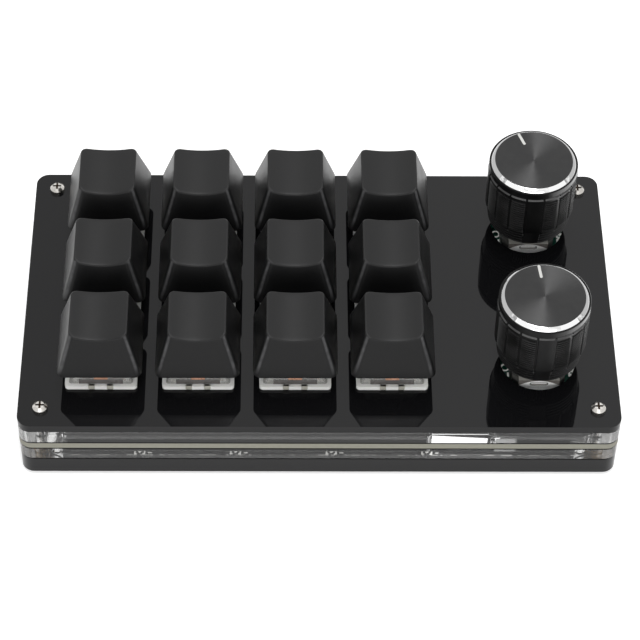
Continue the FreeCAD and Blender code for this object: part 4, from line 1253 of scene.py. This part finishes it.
@dataclass
class Case:
    """The stacked case's two clear frames, with a hair of air above and below."""

    finishes: Finishes
    air: float = 0.02

    def build(self) -> list[bpy.types.Object]:
        """Build every piece."""
        return [self.clear_frame("upper_frame"), self.clear_frame("lower_frame")]

    def clear_frame(self, node: str) -> bpy.types.Object:
        """Copy a clear frame, a hair thinner, so that light turns back at its faces.

        Args:
            node: The CAD node.

        Returns:
            The piece that stands for it.
        """
        low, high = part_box(node)
        middle = (low.z + high.z) / 2.0
        share = 1.0 - 2.0 * self.air * MM / (high.z - low.z)
        mesh = frame["nodes"][node].data.copy()
        for vertex in mesh.vertices:
            vertex.co.z = middle + (vertex.co.z - middle) * share
        tidy_mesh(mesh)
        material = self.finishes.by_slot["clear_sheet"]
        return add_piece("dressed_" + node, mesh, material, "case", [node])


@dataclass
class Keycaps:
    """The twelve keycaps: tapered, with a dished top and soft edges."""

    finishes: Finishes
    grid: KeyGrid
    base: float = 6.5
    skirt_wide: float = 18.4
    skirt_deep: float = 19.0
    skirt_forward: float = 0.3
    skirt_corner: float = 1.8
    lip_high: float = 0.2
    lip_share: float = 0.992
    top_wide: float = 12.4
    top_deep: float = 13.0
    top_corner: float = 1.5
    top_forward: float = 0.1
    high: float = 10.3
    dish: float = 1.1
    edge: float = 0.4
    wall: float = 1.3
    roof: float = 1.5
    post_radius: float = 2.75
    post_low: float = 1.1
    post_face_share: float = 0.6
    post_corner_share: float = 0.3
    edge_steps: int = 5
    corner_steps: int = 8
    rim_rounds: int = 5
    side_shares: tuple[float, ...] = (0.25, 0.5, 0.75, 1.0)
    dish_shares: tuple[float, ...] = (0.85, 0.7, 0.5, 0.3, 0.12)
    ridge_turn: float = 50.0
    ridge_half: float = 14.0
    ridge_from_share: float = 0.8

    def build(self) -> list[bpy.types.Object]:
        """Build every keycap.

        Returns:
            The keycaps.
        """
        shape = self.shape()
        caps = []
        for ending, x, y in self.grid.keys():
            mesh = shape.copy()
            mesh.transform(Matrix.Translation(
                Vector((x, y, self.grid.plate_top + self.base)) * MM))
            caps.append(add_piece("dressed_keycap_" + ending, mesh,
                                  self.finishes.by_slot["cap_plastic"], "key_" + ending,
                                  ["keycap_" + ending]))
        return caps

    def dish_height(self, x: float) -> float:
        """Give the height of the dished top.

        Args:
            x: Distance from its middle line.

        Returns:
            The height above the cap's lower edge.
        """
        half = self.top_wide / 2.0
        radius = (half * half + self.dish * self.dish) / (2.0 * self.dish)
        return self.high - self.dish + radius - math.sqrt(max(radius * radius - x * x, 0.0))

    def size_at(self, height: float) -> tuple[float, float, float, float]:
        """Measure the side at a height.

        Args:
            height: Height above the cap's lower edge.

        Returns:
            Its width, depth, corner radius and shift to the front.
        """
        share = height / self.high
        return tuple(low + (top - low) * share for low, top in (
            (self.skirt_wide, self.top_wide), (self.skirt_deep, self.top_deep),
            (self.skirt_corner, self.top_corner), (self.skirt_forward, self.top_forward)))

    def section(self, height: float) -> list[Pair]:
        """Draw the outline of the side at a height.

        Args:
            height: Height above the cap's lower edge.

        Returns:
            Its points.
        """
        wide, deep, corner, forward = self.size_at(height)
        ring = rounded_ring(wide, deep, corner, corner_steps=self.corner_steps)
        return [(x, y - forward) for x, y in ring]

    def side_point(self, number: int, height: float) -> Point:
        """Give one point of the side at a height."""
        x, y = self.section(height)[number]
        return (x, y, height)

    def dish_point(self, x: float, y: float, share: float) -> Point:
        """Move a point of the rim inwards over the dish, to a share of its distance."""
        return (x * share, (y + self.top_forward) * share - self.top_forward,
                self.dish_height(x * share))

    def rim(self) -> list[Point]:
        """Find where the sloping side meets the dish.

        Returns:
            The points of the unrounded rim.
        """
        points = []
        for number in range(len(self.section(0.0))):
            height = self.high - self.dish
            for _ in range(self.rim_rounds):
                height = self.dish_height(self.side_point(number, height)[0])
            points.append(self.side_point(number, height))
        return points

    def shape(self) -> bpy.types.Mesh:
        """Build the cap round the origin, standing on its lower edge.

        Returns:
            The cap's mesh.
        """
        shell = Shell()
        rim = self.rim()
        rings = [shell.ring((x * self.lip_share, y * self.lip_share, 0.0)
                            for x, y in self.section(0.0)),
                 shell.ring((x, y, self.lip_high) for x, y in self.section(self.lip_high))]
        for share in self.side_shares:
            rings.append(shell.ring(
                self.side_point(number, self.lip_high
                                + (height - self.edge - self.lip_high) * share)
                for number, (_, _, height) in enumerate(rim)))
        inset = 1.0 - 2.0 * self.edge / self.top_wide
        for step in range(1, self.edge_steps + 1):
            share = step / self.edge_steps
            points = []
            for number, (x, y, height) in enumerate(rim):
                low = self.side_point(number, height - self.edge)
                top = self.dish_point(x, y, inset)
                points.append(tuple(
                    (1 - share) ** 2 * a + 2 * share * (1 - share) * b + share ** 2 * c
                    for a, b, c in zip(low, (x, y, height), top)))
            rings.append(shell.ring(points))
        for share in self.dish_shares:
            rings.append(shell.ring(self.dish_point(x, y, inset * share) for x, y, _ in rim))
        shell.skin(*rings)
        shell.fan(rings[-1], (0.0, -self.top_forward, self.dish_height(0.0)))
        self.hollow(shell, rings[0])
        mesh = shell.mesh("keycap_shape")
        self.paint_ridges(mesh)
        return mesh

    def hollow(self, shell: Shell, lower_edge: Sequence[int]) -> None:
        """Close the cap from below with its hollow and the post in the middle.

        Args:
            shell: The shell of the cap.
            lower_edge: Its lowest ring.
        """
        roof = self.high - self.dish - self.roof
        inner = []
        for height in (0.0, roof):
            wide, deep, _, forward = self.size_at(height)
            ring = rounded_ring(wide - 2 * self.wall, deep - 2 * self.wall, self.skirt_corner,
                                corner_steps=self.corner_steps)
            inner.append(shell.ring((x, y - forward, height) for x, y in ring))
        square = rounded_ring(1.0, 1.0, self.post_corner_share, corner_steps=self.corner_steps)
        turns = [math.atan2(y, x) for x, y in square]
        for radius, height in ((self.post_radius, roof), (self.post_radius, self.post_low),
                               (self.post_radius * self.post_face_share, self.post_low)):
            inner.append(shell.ring(polar(radius, turn, height) for turn in turns))
        shell.skin(lower_edge, *inner)
        shell.fan(inner[-1], (0.0, 0.0, self.post_low))

    def paint_ridges(self, mesh: bpy.types.Mesh) -> None:
        """Paint how much each point lies on a ridge's painted highlight.

        Args:
            mesh: The cap's mesh, round the origin.
        """
        ridge = mesh.attributes.new("ridge", "FLOAT", "POINT")
        for vertex, value in zip(mesh.vertices, ridge.data):
            x, y, z = (v / MM for v in vertex.co)
            wide, deep, corner, forward = self.size_at(z)
            across = abs(x) - wide / 2.0 + corner
            ahead = -(y + forward) - deep / 2.0 + corner
            turn = math.degrees(math.atan2(ahead, across))
            near_skin = math.hypot(across, ahead) > self.ridge_from_share * corner
            on_side = self.lip_high < z < self.dish_height(x) - self.edge / 2.0
            if on_side and near_skin and 0.0 < turn < 90.0:
                value.value = max(0.0, 1.0 - abs(turn - self.ridge_turn) / self.ridge_half)


@dataclass
class Switches:
    """Detail of the switches: coils, dark panels of painted shade in the windows, copper leaves and smoky
    clips.
    """

    finishes: Finishes
    grid: KeyGrid
    repeat: RepeatTree
    coil: CoilTree
    coil_low: float = 13.3
    coil_high: float = 22.9
    coil_radius: float = 2.0
    coil_wire: float = 0.4
    coil_turns: float = 11.0
    travel: float = 4.0
    flange_top: float = 1.0
    flange_half: float = 7.8
    cover_foot: float = 6.95
    cover_lean: float = 0.348
    window_wide: float = 9.5
    window_high: float = 1.0
    leaf_wide: float = 3.0
    leaf_high: float = 2.2
    strip_layers: tuple[Pair, ...] = ((-0.3, 0.0), (0.04, 0.0), (0.06, 0.06))
    clip_apart: float = 4.1
    clip_wide: float = 1.3
    clip_reach: Pair = (-0.85, 0.3)
    clip_layers: tuple[Pair, ...] = ((-0.4, 0.0), (0.03, 0.0), (0.06, 0.1))

    def build(self) -> list[bpy.types.Object]:
        """Build every piece.

        Returns:
            The pieces.
        """
        return [*self.coils(),
                # Painted shade: a dark panel on each window stands in for its depth.
                self.front_strip("painted_shade_switch_windows", self.window_wide,
                                 (0.0, self.window_high), self.finishes.window_painted_shade),
                self.front_strip("switch_window_leaves", self.leaf_wide,
                                 (self.window_high, self.leaf_high),
                                 self.finishes.by_slot["contact_copper"]),
                self.clip_covers()]

    def coils(self) -> list[bpy.types.Object]:
        """Wind one coil for every key.

        Returns:
            The coils.
        """
        steel = self.finishes.by_slot["spring_steel"]
        pieces = []
        length = self.coil_high - self.coil_low
        values = {"Turns": self.coil_turns, "Wire": self.coil_wire / 2.0 * MM,
                  "Radius": self.coil_radius * MM, "Height": (length - self.coil_wire) * MM,
                  "Material": steel}
        for ending, x, y in self.grid.keys():
            start = bpy.data.meshes.new("coil_" + ending)
            mesh = self.coil.bake(start, values, (x, y, self.coil_low + self.coil_wire / 2.0))
            piece = add_piece("coil_" + ending, mesh, steel, "case",
                              ["spring_" + ending])
            x * MM
            y * MM
            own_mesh(piece)
            pieces.append(piece)
        return pieces

    def add_slab(self, shell: Shell, middle: float, half: float, reach: Pair,
                 layers: Sequence[Pair], face: Pair) -> None:
        """Add a thin slab with soft edges to a face that looks to the front.

        Args:
            shell: The shell that it goes to.
            middle: Its middle along X.
            half: Half its width.
            reach: Its lower and upper height above the flange.
            layers: How far each ring stands out of the face, and how far inside the slab's rim.
            face: Distance of the face from the centre at the flange, and its lean.
        """
        rings = []
        for out, rim in layers:
            low, high = reach[0] + rim, reach[1] - rim
            inner = half - rim
            corners = [(-inner, low), (inner, low), (inner, high), (-inner, high)]
            rings.append(shell.ring(
                (middle + x, -face[0] + face[1] * z - out, self.flange_top + z)
                for x, z in corners))
        shell.block(*rings)

    def front_strip(self, name: str, wide: float, reach: Pair,
                    material: bpy.types.Material) -> bpy.types.Object:
        """Lay a strip on the sloping front of every cover.

        Args:
            name: Name of the piece.
            wide: Its width.
            reach: Its lower and upper height above the flange.
            material: Its finish.

        Returns:
            The piece.
        """
        shell = Shell()
        self.add_slab(shell, 0.0, wide / 2.0, reach, self.strip_layers,
                      (self.cover_foot, self.cover_lean))
        return self.on_every_key(name, shell.mesh(name), material)

    def clip_covers(self) -> bpy.types.Object:
        """Put the smoky ends of the two front clips on the edge of every flange.

        Returns:
            The piece.
        """
        shell = Shell()
        for side in (-1.0, 1.0):
            self.add_slab(shell, side * self.clip_apart / 2.0, self.clip_wide / 2.0,
                          self.clip_reach, self.clip_layers, (self.flange_half, 0.0))
        return self.on_every_key("switch_clip_covers", shell.mesh("switch_clip_covers"),
                                 self.finishes.clip_grey)

    def on_every_key(self, name: str, mesh: bpy.types.Mesh, material: bpy.types.Material) -> bpy.types.Object:
        """Repeat a mesh on every switch and add it as one piece.

        Args:
            name: Name of the piece.
            mesh: The mesh, placed from the switch's centre on the plate.
            material: Its finish.

        Returns:
            The piece.
        """
        mesh = self.repeat.repeat(
            mesh, material, (self.grid.columns, (self.grid.pitch_x, 0.0, 0.0)),
            (self.grid.rows, (0.0, self.grid.pitch_y, 0.0)), 0.0,
            (*self.grid.first, self.grid.plate_top))
        return add_piece(name, mesh, material, "case")


@dataclass
class TurnedKnob:
    """One knob: grooved and ribbed body, bright ring, turned top and white pointer."""

    finishes: Finishes
    repeat: RepeatTree
    knobs: KnobPair
    which: Knob
    pointer_turn: float
    radius: float = 10.0
    high: float = 17.8
    step: float = 0.3
    foot_radius: float = 9.2
    foot_high: float = 4.2
    foot_chamfer: Pair = (0.25, 0.2)
    foot_lines: int = 4
    line_low: float = 0.5
    line_space: float = 0.6
    line_section: tuple[Pair, ...] = ((0.0, 0.0), (0.15, 0.25), (0.4, 0.25), (0.55, 0.0))
    collar_radius: float = 9.9
    collar_high: float = 1.9
    collar_chamfer: float = 0.12
    waist_deep: float = 0.2
    waist_top: float = 0.3
    waist_end: float = 0.45
    ring_drop: float = 0.7
    ring_outer: float = 9.5
    ring_inner: float = 8.7
    ring_soft: float = 0.06
    seat_dip: float = 0.05
    hollow_radius: float = 7.9
    hollow_top: float = 12.8
    panels: int = 16
    panels_a_side: int = 4
    panel_steps: int = 10
    first_panel: float = -90.0
    groove_half_angle: float = 1.4
    groove_floor_share: float = 0.4
    groove_deep: float = 0.3
    foot_groove_deep: float = 0.22
    foot_groove_share: float = 0.55
    shoulder_groove_deep: float = 0.1
    band_margin: float = 0.2
    rib_sunk: float = 0.34
    rib_pitch: float = 0.66
    rib_high: float = 0.28
    rib_wave: float = 0.05
    rib_steps: int = 8
    rib_space: Pair = (0.25, 0.35)
    rib_root: float = 0.1
    rib_face_shares: Pair = (0.35, 0.65)
    rib_inset_angle: float = 0.4
    highlight_section: tuple[Pair, ...] = ((0.34, 0.16), (0.0, 0.34), (0.0, 0.26), (0.28, 0.0))
    highlight_steps: int = 5
    highlight_line: tuple[Pair, ...] = ((0.2, -0.08), (0.0, -0.05), (0.0, 0.05), (0.2, 0.08))
    highlight_line_drop: float = 0.08
    highlight_line_steps: int = 18
    hair: float = 0.02
    round_steps: int = 128
    top_steps: int = 96
    top_shares: tuple[float, ...] = (0.75, 0.5, 0.25, 0.08)
    pointer_long: float = 3.6
    pointer_wide: float = 0.62
    pointer_gap: float = 0.05
    pointer_layers: tuple[Pair, ...] = ((-0.1, 0.0), (0.01, 0.0), (0.02, 0.03))

    @property
    def seat(self) -> float:
        """Height of the ledge that the bright ring sits on."""
        return self.high - self.ring_drop

    @property
    def shoulder(self) -> float:
        """Height of the shoulder below the collar."""
        return self.seat - self.collar_high

    @property
    def pitch(self) -> float:
        """Angle from one panel to the next."""
        return 360.0 / self.panels

    def build(self) -> list[bpy.types.Object]:
        """Build every piece.

        Returns:
            The pieces.
        """
        name, slot, finishes = self.which.value, "knob_aluminium", self.finishes
        pieces = [("body", self.moved(self.body_shape()), finishes.knob_side),
                  ("top", self.moved(self.top_shape()), finishes.by_slot[slot]),
                  ("ribs", self.ribs(), finishes.knob_ribs),
                  ("edges", self.edges(), finishes.knob_edge_highlights),
                  ("ring", self.moved(self.ring_shape()), finishes.bright_ring),
                  ("pointer", self.moved(self.pointer_shape()), finishes.pointer_paint)]
        return [add_piece(f"{name}_knob_{part}", mesh, material, name + "_dial",
                          [name + "_knob"] if part == "body" else [])
                for part, mesh, material in pieces]

    def moved(self, mesh: bpy.types.Mesh) -> bpy.types.Mesh:
        """Move a mesh from the origin to the knob's place."""
        mesh.transform(Matrix.Translation(Vector(self.knobs.foot(self.which)) * MM))
        return mesh

    def angles(self) -> list[tuple[float, float, bool]]:
        """List the columns of points round the body.

        Returns:
            Each column's angle, whether it lies in a groove (0 or 1), and if it is ribbed.
        """
        columns = []
        edge = self.groove_half_angle
        floor = edge * self.groove_floor_share
        for panel in range(self.panels):
            start = self.first_panel + (panel - 0.5) * self.pitch
            ribbed = panel % self.panels_a_side != 0
            columns += [(start - floor, 1.0, ribbed), (start + floor, 1.0, ribbed)]
            for step in range(self.panel_steps + 1):
                angle = start + edge + (self.pitch - 2 * edge) * step / self.panel_steps
                columns.append((angle, 0.0, ribbed))
        return columns

    def foot_line(self, line: int, low: float) -> tuple[float, float, float]:
        """Find one of the lines round the foot.

        Args:
            line: Its number, from below.
            low: Height of the lowest line.

        Returns:
            The radius of the foot's surface there, its height, and the foot's lean.
        """
        height = low + line * (self.foot_high - self.line_space) / self.foot_lines
        lean = (self.radius - self.step - self.foot_radius) / self.foot_high
        return (self.foot_radius + lean * height, height, lean)

    def profile(self) -> list[tuple[float, float, float, float]]:
        """List the rings of the body from below.

        Returns:
            Each ring's radius and height, how deep the grooves are in it, and how deep its
            ribbed panels are sunk.
        """
        chamfer_in, chamfer_up = self.foot_chamfer
        rings = [(self.foot_radius - chamfer_in, 0.0, 0.0, 0.0),
                 (self.foot_radius, chamfer_up, 0.0, 0.0)]
        for line in range(self.foot_lines):
            surface, height, lean = self.foot_line(line, self.line_low)
            grooved = height >= self.foot_high * self.foot_groove_share
            for rise, sunk in self.line_section:
                rings.append((surface + lean * rise, height + rise,
                              self.foot_groove_deep if grooved else 0.0, sunk))
        low, deep = self.foot_high + self.step, self.groove_deep
        waist = self.collar_radius - self.waist_deep
        return rings + [
            (self.radius - self.step, self.foot_high, deep, 0.0),
            (self.radius, low, deep, 0.0),
            (self.radius, low + self.band_margin, deep, self.rib_sunk),
            (self.radius, self.shoulder - self.step - self.band_margin, deep, self.rib_sunk),
            (self.radius, self.shoulder - self.step, deep, 0.0),
            (self.radius - self.step, self.shoulder, self.shoulder_groove_deep, 0.0),
            (waist, self.shoulder, 0.0, 0.0),
            (waist, self.shoulder + self.waist_top, 0.0, 0.0),
            (self.collar_radius, self.shoulder + self.waist_end, 0.0, 0.0),
            (self.collar_radius, self.seat - self.collar_chamfer, 0.0, 0.0),
            (self.collar_radius - self.collar_chamfer, self.seat, 0.0, 0.0),
            (self.ring_outer, self.seat, 0.0, 0.0),
            (self.ring_inner, self.seat - self.seat_dip, 0.0, 0.0)]

    def body_shape(self) -> bpy.types.Mesh:
        """Build the body round the origin, with its hollow.

        Returns:
            The body's mesh.
        """
        shell = Shell()
        columns = self.angles()
        rings = []
        for radius, height, groove, sunk in self.profile():
            rings.append(shell.ring(
                polar(radius - max(groove * in_groove, sunk if ribbed else 0.0),
                      math.radians(angle), height)
                for angle, in_groove, ribbed in columns))
        shell.skin(*rings)
        shell.fan(rings[-1], (0.0, 0.0, self.seat - self.seat_dip))
        inner = [shell.ring(polar(self.hollow_radius, math.radians(angle), height)
                            for angle, _, _ in columns) for height in (0.0, self.hollow_top)]
        shell.skin(rings[0], *inner)
        shell.fan(inner[1], (0.0, 0.0, self.hollow_top))
        return shell.mesh(self.which.value + "_knob_body")

    def top_shape(self) -> bpy.types.Mesh:
        """Build the turned disc inside the bright ring, round the origin.

        Returns:
            The disc's mesh.
        """
        shell = Shell()
        edge = self.ring_inner - self.hair
        rings = [shell.ring(circle(edge, height, self.top_steps))
                 for height in (self.seat, self.high)]
        rings += [shell.ring(circle(self.ring_inner * share, self.high, self.top_steps))
                  for share in self.top_shares]
        shell.skin(*rings)
        shell.fan(rings[-1], (0.0, 0.0, self.high))
        shell.close(rings[0])
        return shell.mesh(self.which.value + "_knob_top")

    def arc(self, shell: Shell, section: Sequence[Pair],
            turns: Pair, steps: int, wave: float = 0.0) -> None:
        """Add a short closed arc round the axis.

        Args:
            shell: The shell that it goes to.
            section: Its section as (radius, height) points.
            turns: Angles in degrees where it starts and ends.
            steps: Steps along it.
            wave: How far every second step is raised.
        """
        rings = []
        for step in range(steps + 1):
            turn = math.radians(turns[0] + (turns[1] - turns[0]) * step / steps)
            rings.append(shell.ring(polar(radius, turn, height + wave * (step % 2))
                                    for radius, height in section))
        shell.block(*rings)

    def ribbed_panels(self) -> list[Pair]:
        """List the ribbed panels of the front quarter.

        Returns:
            The angles between which each one reaches.
        """
        half = self.pitch / 2.0 - self.groove_half_angle - self.rib_inset_angle
        middles = [self.first_panel + self.pitch * panel
                   for panel in range(1, self.panels_a_side)]
        return [(middle - half, middle + half) for middle in middles]

    def all_round(self, part: str, shell: Shell, material: bpy.types.Material,
                  row: tuple[int, Point]) -> bpy.types.Mesh:
        """Repeat what is on the front quarter round the whole knob.

        Args:
            part: Name of the part.
            shell: Its shell, on the front quarter.
            material: Its finish.
            row: Count and step in millimetres of a row of it.

        Returns:
            All copies as one mesh.
        """
        return self.repeat.repeat(
            shell.mesh(f"{self.which.value}_knob_{part}"), material, row,
            (self.panels // self.panels_a_side, (0.0, 0.0, 0.0)),
            self.pitch * self.panels_a_side, self.knobs.foot(self.which))

    def ribs(self) -> bpy.types.Mesh:
        """Lay the fine zigzag ribs across the ribbed panels.

        Returns:
            All ribs as one mesh.
        """
        low = self.foot_high + self.step + self.rib_space[0]
        top = self.shoulder - self.step - self.rib_space[1]
        inner, outer = self.radius - self.rib_sunk - self.rib_root, self.radius - self.hair
        section = [(inner, low),
                   *((outer, low + self.rib_high * share) for share in self.rib_face_shares),
                   (inner, low + self.rib_high)]
        shell = Shell()
        for turns in self.ribbed_panels():
            self.arc(shell, section, turns, self.rib_steps, self.rib_wave)
        return self.all_round("ribs", shell, self.finishes.knob_ribs,
                              (int((top - low) / self.rib_pitch), (0.0, 0.0, self.rib_pitch)))

    def edges(self) -> bpy.types.Mesh:
        """Lay the painted highlight lines: one over each panel and the lines round the foot.

        Returns:
            All edges as one mesh.
        """
        shell = Shell()
        half = self.pitch / 2.0 - self.groove_half_angle
        section = [(self.radius - inward, self.shoulder - down)
                   for inward, down in self.highlight_section]
        for panel in range(self.panels_a_side):
            middle = self.first_panel + self.pitch * panel
            self.arc(shell, section, (middle - half, middle + half), self.highlight_steps)
        ribbed = self.ribbed_panels()
        for line in range(self.foot_lines):
            surface, height, _ = self.foot_line(line, self.line_low - self.highlight_line_drop)
            section = [(surface - inward, height + rise) for inward, rise in self.highlight_line]
            self.arc(shell, section, (ribbed[0][0], ribbed[-1][1]), self.highlight_line_steps)
        return self.all_round("edges", shell, self.finishes.knob_edge_highlights, (1, (0.0, 0.0, 0.0)))

    def ring_shape(self) -> bpy.types.Mesh:
        """Build the bright chamfered ring round the origin.

        Returns:
            The ring's mesh.
        """
        shell = Shell()
        inner, outer, low, top = self.ring_inner, self.ring_outer, self.seat, self.high
        soft, hair = self.ring_soft, self.hair
        section = [(inner, low - hair), (outer, low), (outer - hair, low + soft),
                   (inner + soft, top - hair / 2.0), (inner - hair, top + hair / 4.0),
                   (inner - soft, top - self.seat_dip)]
        rings = [shell.ring(circle(radius, height, self.round_steps))
                 for radius, height in section]
        shell.skin(*rings, rings[0])
        return shell.mesh(self.which.value + "_knob_ring")

    def pointer_shape(self) -> bpy.types.Mesh:
        """Build the painted pointer line, with round ends, in the turned top.

        Returns:
            The pointer's mesh.
        """
        shell = Shell()
        turn = Matrix.Rotation(math.radians(self.pointer_turn), 3, "Z")
        middle = self.ring_inner - self.pointer_long / 2.0 - self.pointer_gap
        line = rounded_ring(self.pointer_wide, self.pointer_long,
                            (self.pointer_wide - self.hair) / 2.0)
        rings = []
        for height, inset in self.pointer_layers:
            share = 1.0 - 2.0 * inset / self.pointer_wide
            rings.append(shell.ring(
                tuple(turn @ Vector((x * share, y * share + middle, self.high + height)))
                for x, y in line))
        shell.block(*rings)
        return shell.mesh(self.which.value + "_knob_pointer")


@dataclass(frozen=True)
class Lamp:
    """A soft panel of light that looks down: place and size in millimetres, power in watts."""

    name: str
    place: Point
    size: Pair
    power: float
    tilt: float = 0.0

    def hang(self) -> None:
        """Hang the lamp, tilted to look to the back."""
        light = bpy.data.lights.new(self.name, "AREA")
        light.shape = "RECTANGLE"
        light.size, light.size_y = (side * MM for side in self.size)
        light.energy = self.power
        lamp = bpy.data.objects.new(self.name, light)
        lamp.location = Vector(self.place) * MM
        lamp.rotation_euler = (math.radians(self.tilt), 0.0, 0.0)
        bpy.context.scene.collection.objects.link(lamp)


@dataclass
class Studio:
    """Pale floor, white surroundings, soft overhead light and the photograph's camera."""

    lens: float = 142.4
    sensor: float = 36.0
    near: float = 0.01
    place: Point = (-8.141, -366.087, 449.82)
    pitch: float = 50.302
    yaw: float = 1.341
    roll: float = 1.188
    surroundings: float = 0.7
    floor_half: float = 3000.0
    floor_tone: Colour = (0.86, 0.86, 0.86)
    floor_cloud: Colour = (0.88, 0.88, 0.88)
    floor_glow: float = 0.45
    white: Colour = (1.0, 1.0, 1.0)
    bounces: int = 32
    lamps: tuple[Lamp, ...] = (
        Lamp("overhead_strip", (30.0, 0.0, 900.0), (180.0, 1100.0), 3.8),
        Lamp("front_panel", (0.0, -700.0, 300.0), (700.0, 400.0), 2.0, 68.0))

    def build(self) -> None:
        """Build everything."""
        self.add_floor()
        self.add_world()
        for lamp in self.lamps:
            lamp.hang()
        self.add_camera()
        scene = bpy.context.scene
        scene.view_settings.view_transform = "Standard"
        scene.cycles.max_bounces = self.bounces
        scene.cycles.glossy_bounces = self.bounces
        scene.cycles.transmission_bounces = self.bounces

    def add_floor(self) -> None:
        """Lay the floor, which looks white but keeps the shadow."""
        shader = Shader("pale_studio_floor")
        shader.dress(base_color=shader.mix(shader.noise(60.0), self.floor_tone, self.floor_cloud),
                     roughness=0.8, specular_ior_level=0.1)
        glow = shader.node("ShaderNodeEmission", None, {
            "Color": self.white, "Strength": shader.seen_directly() * self.floor_glow})
        both = shader.node("ShaderNodeAddShader", None,
                           {0: shader.skin.outputs[0], 1: glow.outputs[0]})
        shader.feed(shader.output.inputs["Surface"], both.outputs[0])
        half = self.floor_half * MM
        mesh = bpy.data.meshes.new("studio_floor")
        mesh.from_pydata([(-half, -half, 0.0), (half, -half, 0.0), (half, half, 0.0),
                          (-half, half, 0.0)], [], [(0, 1, 2, 3)])
        mesh.materials.append(shader.material)
        floor = bpy.data.objects.new("studio_floor", mesh)
        bpy.context.scene.collection.objects.link(floor)

    def add_world(self) -> None:
        """Surround the object with white, dimmer where it only lights."""
        world = bpy.data.worlds.new("white_studio")
        world.use_nodes = True
        bpy.context.scene.world = world
        maker = NodeMaker(world.node_tree)
        strength = maker.node("ShaderNodeMapRange", None, {
            "Value": maker.seen_directly(), "To Min": self.surroundings, "To Max": 1.0})
        light = maker.node("ShaderNodeBackground", None,
                           {"Color": self.white, "Strength": strength.outputs[0]})
        maker.node("ShaderNodeOutputWorld", None, {"Surface": light.outputs[0]})

    def add_camera(self) -> None:
        """Put the camera where the photograph was taken from."""
        yaw, pitch, roll = (math.radians(v) for v in (self.yaw, self.pitch, self.roll))
        ahead = Vector((math.sin(yaw) * math.cos(pitch), math.cos(yaw) * math.cos(pitch),
                        -math.sin(pitch)))
        level = ahead.cross(Vector((0.0, 0.0, 1.0))).normalized()
        above = level.cross(ahead)
        right = math.cos(roll) * level + math.sin(roll) * above
        up = math.cos(roll) * above - math.sin(roll) * level
        data = bpy.data.cameras.new("photo_camera")
        data.lens = self.lens
        data.sensor_width = self.sensor
        data.clip_start = self.near
        camera = bpy.data.objects.new("photo_camera", data)
        camera.matrix_world = Matrix((
            (right.x, up.x, -ahead.x, self.place[0] * MM),
            (right.y, up.y, -ahead.y, self.place[1] * MM),
            (right.z, up.z, -ahead.z, self.place[2] * MM),
            (0.0, 0.0, 0.0, 1.0)))
        bpy.context.scene.collection.objects.link(camera)
        bpy.context.scene.camera = camera


def main() -> None:
    """Build every class in order and report each piece."""
    logging.basicConfig(level=logging.INFO, format="%(name)s: %(message)s")
    finishes = Finishes()
    LOG.info("dressed %d CAD nodes", finishes.dress_nodes(frame["record"]))
    grid, knobs, repeat, coil = KeyGrid(), KnobPair(), RepeatTree(), CoilTree()
    groups = [
        Case(finishes),
        Keycaps(finishes, grid),
        Switches(finishes, grid, repeat, coil),
        TurnedKnob(finishes, repeat, knobs, Knob.FRONT, 6.0),
        TurnedKnob(finishes, repeat, knobs, Knob.REAR, 20.4),
    ]
    for group in groups:
        for piece in group.build():
            LOG.info("%s: %d faces", piece.name, len(piece.data.polygons))
    Studio().build()


if __name__ == "__main__":
    main()
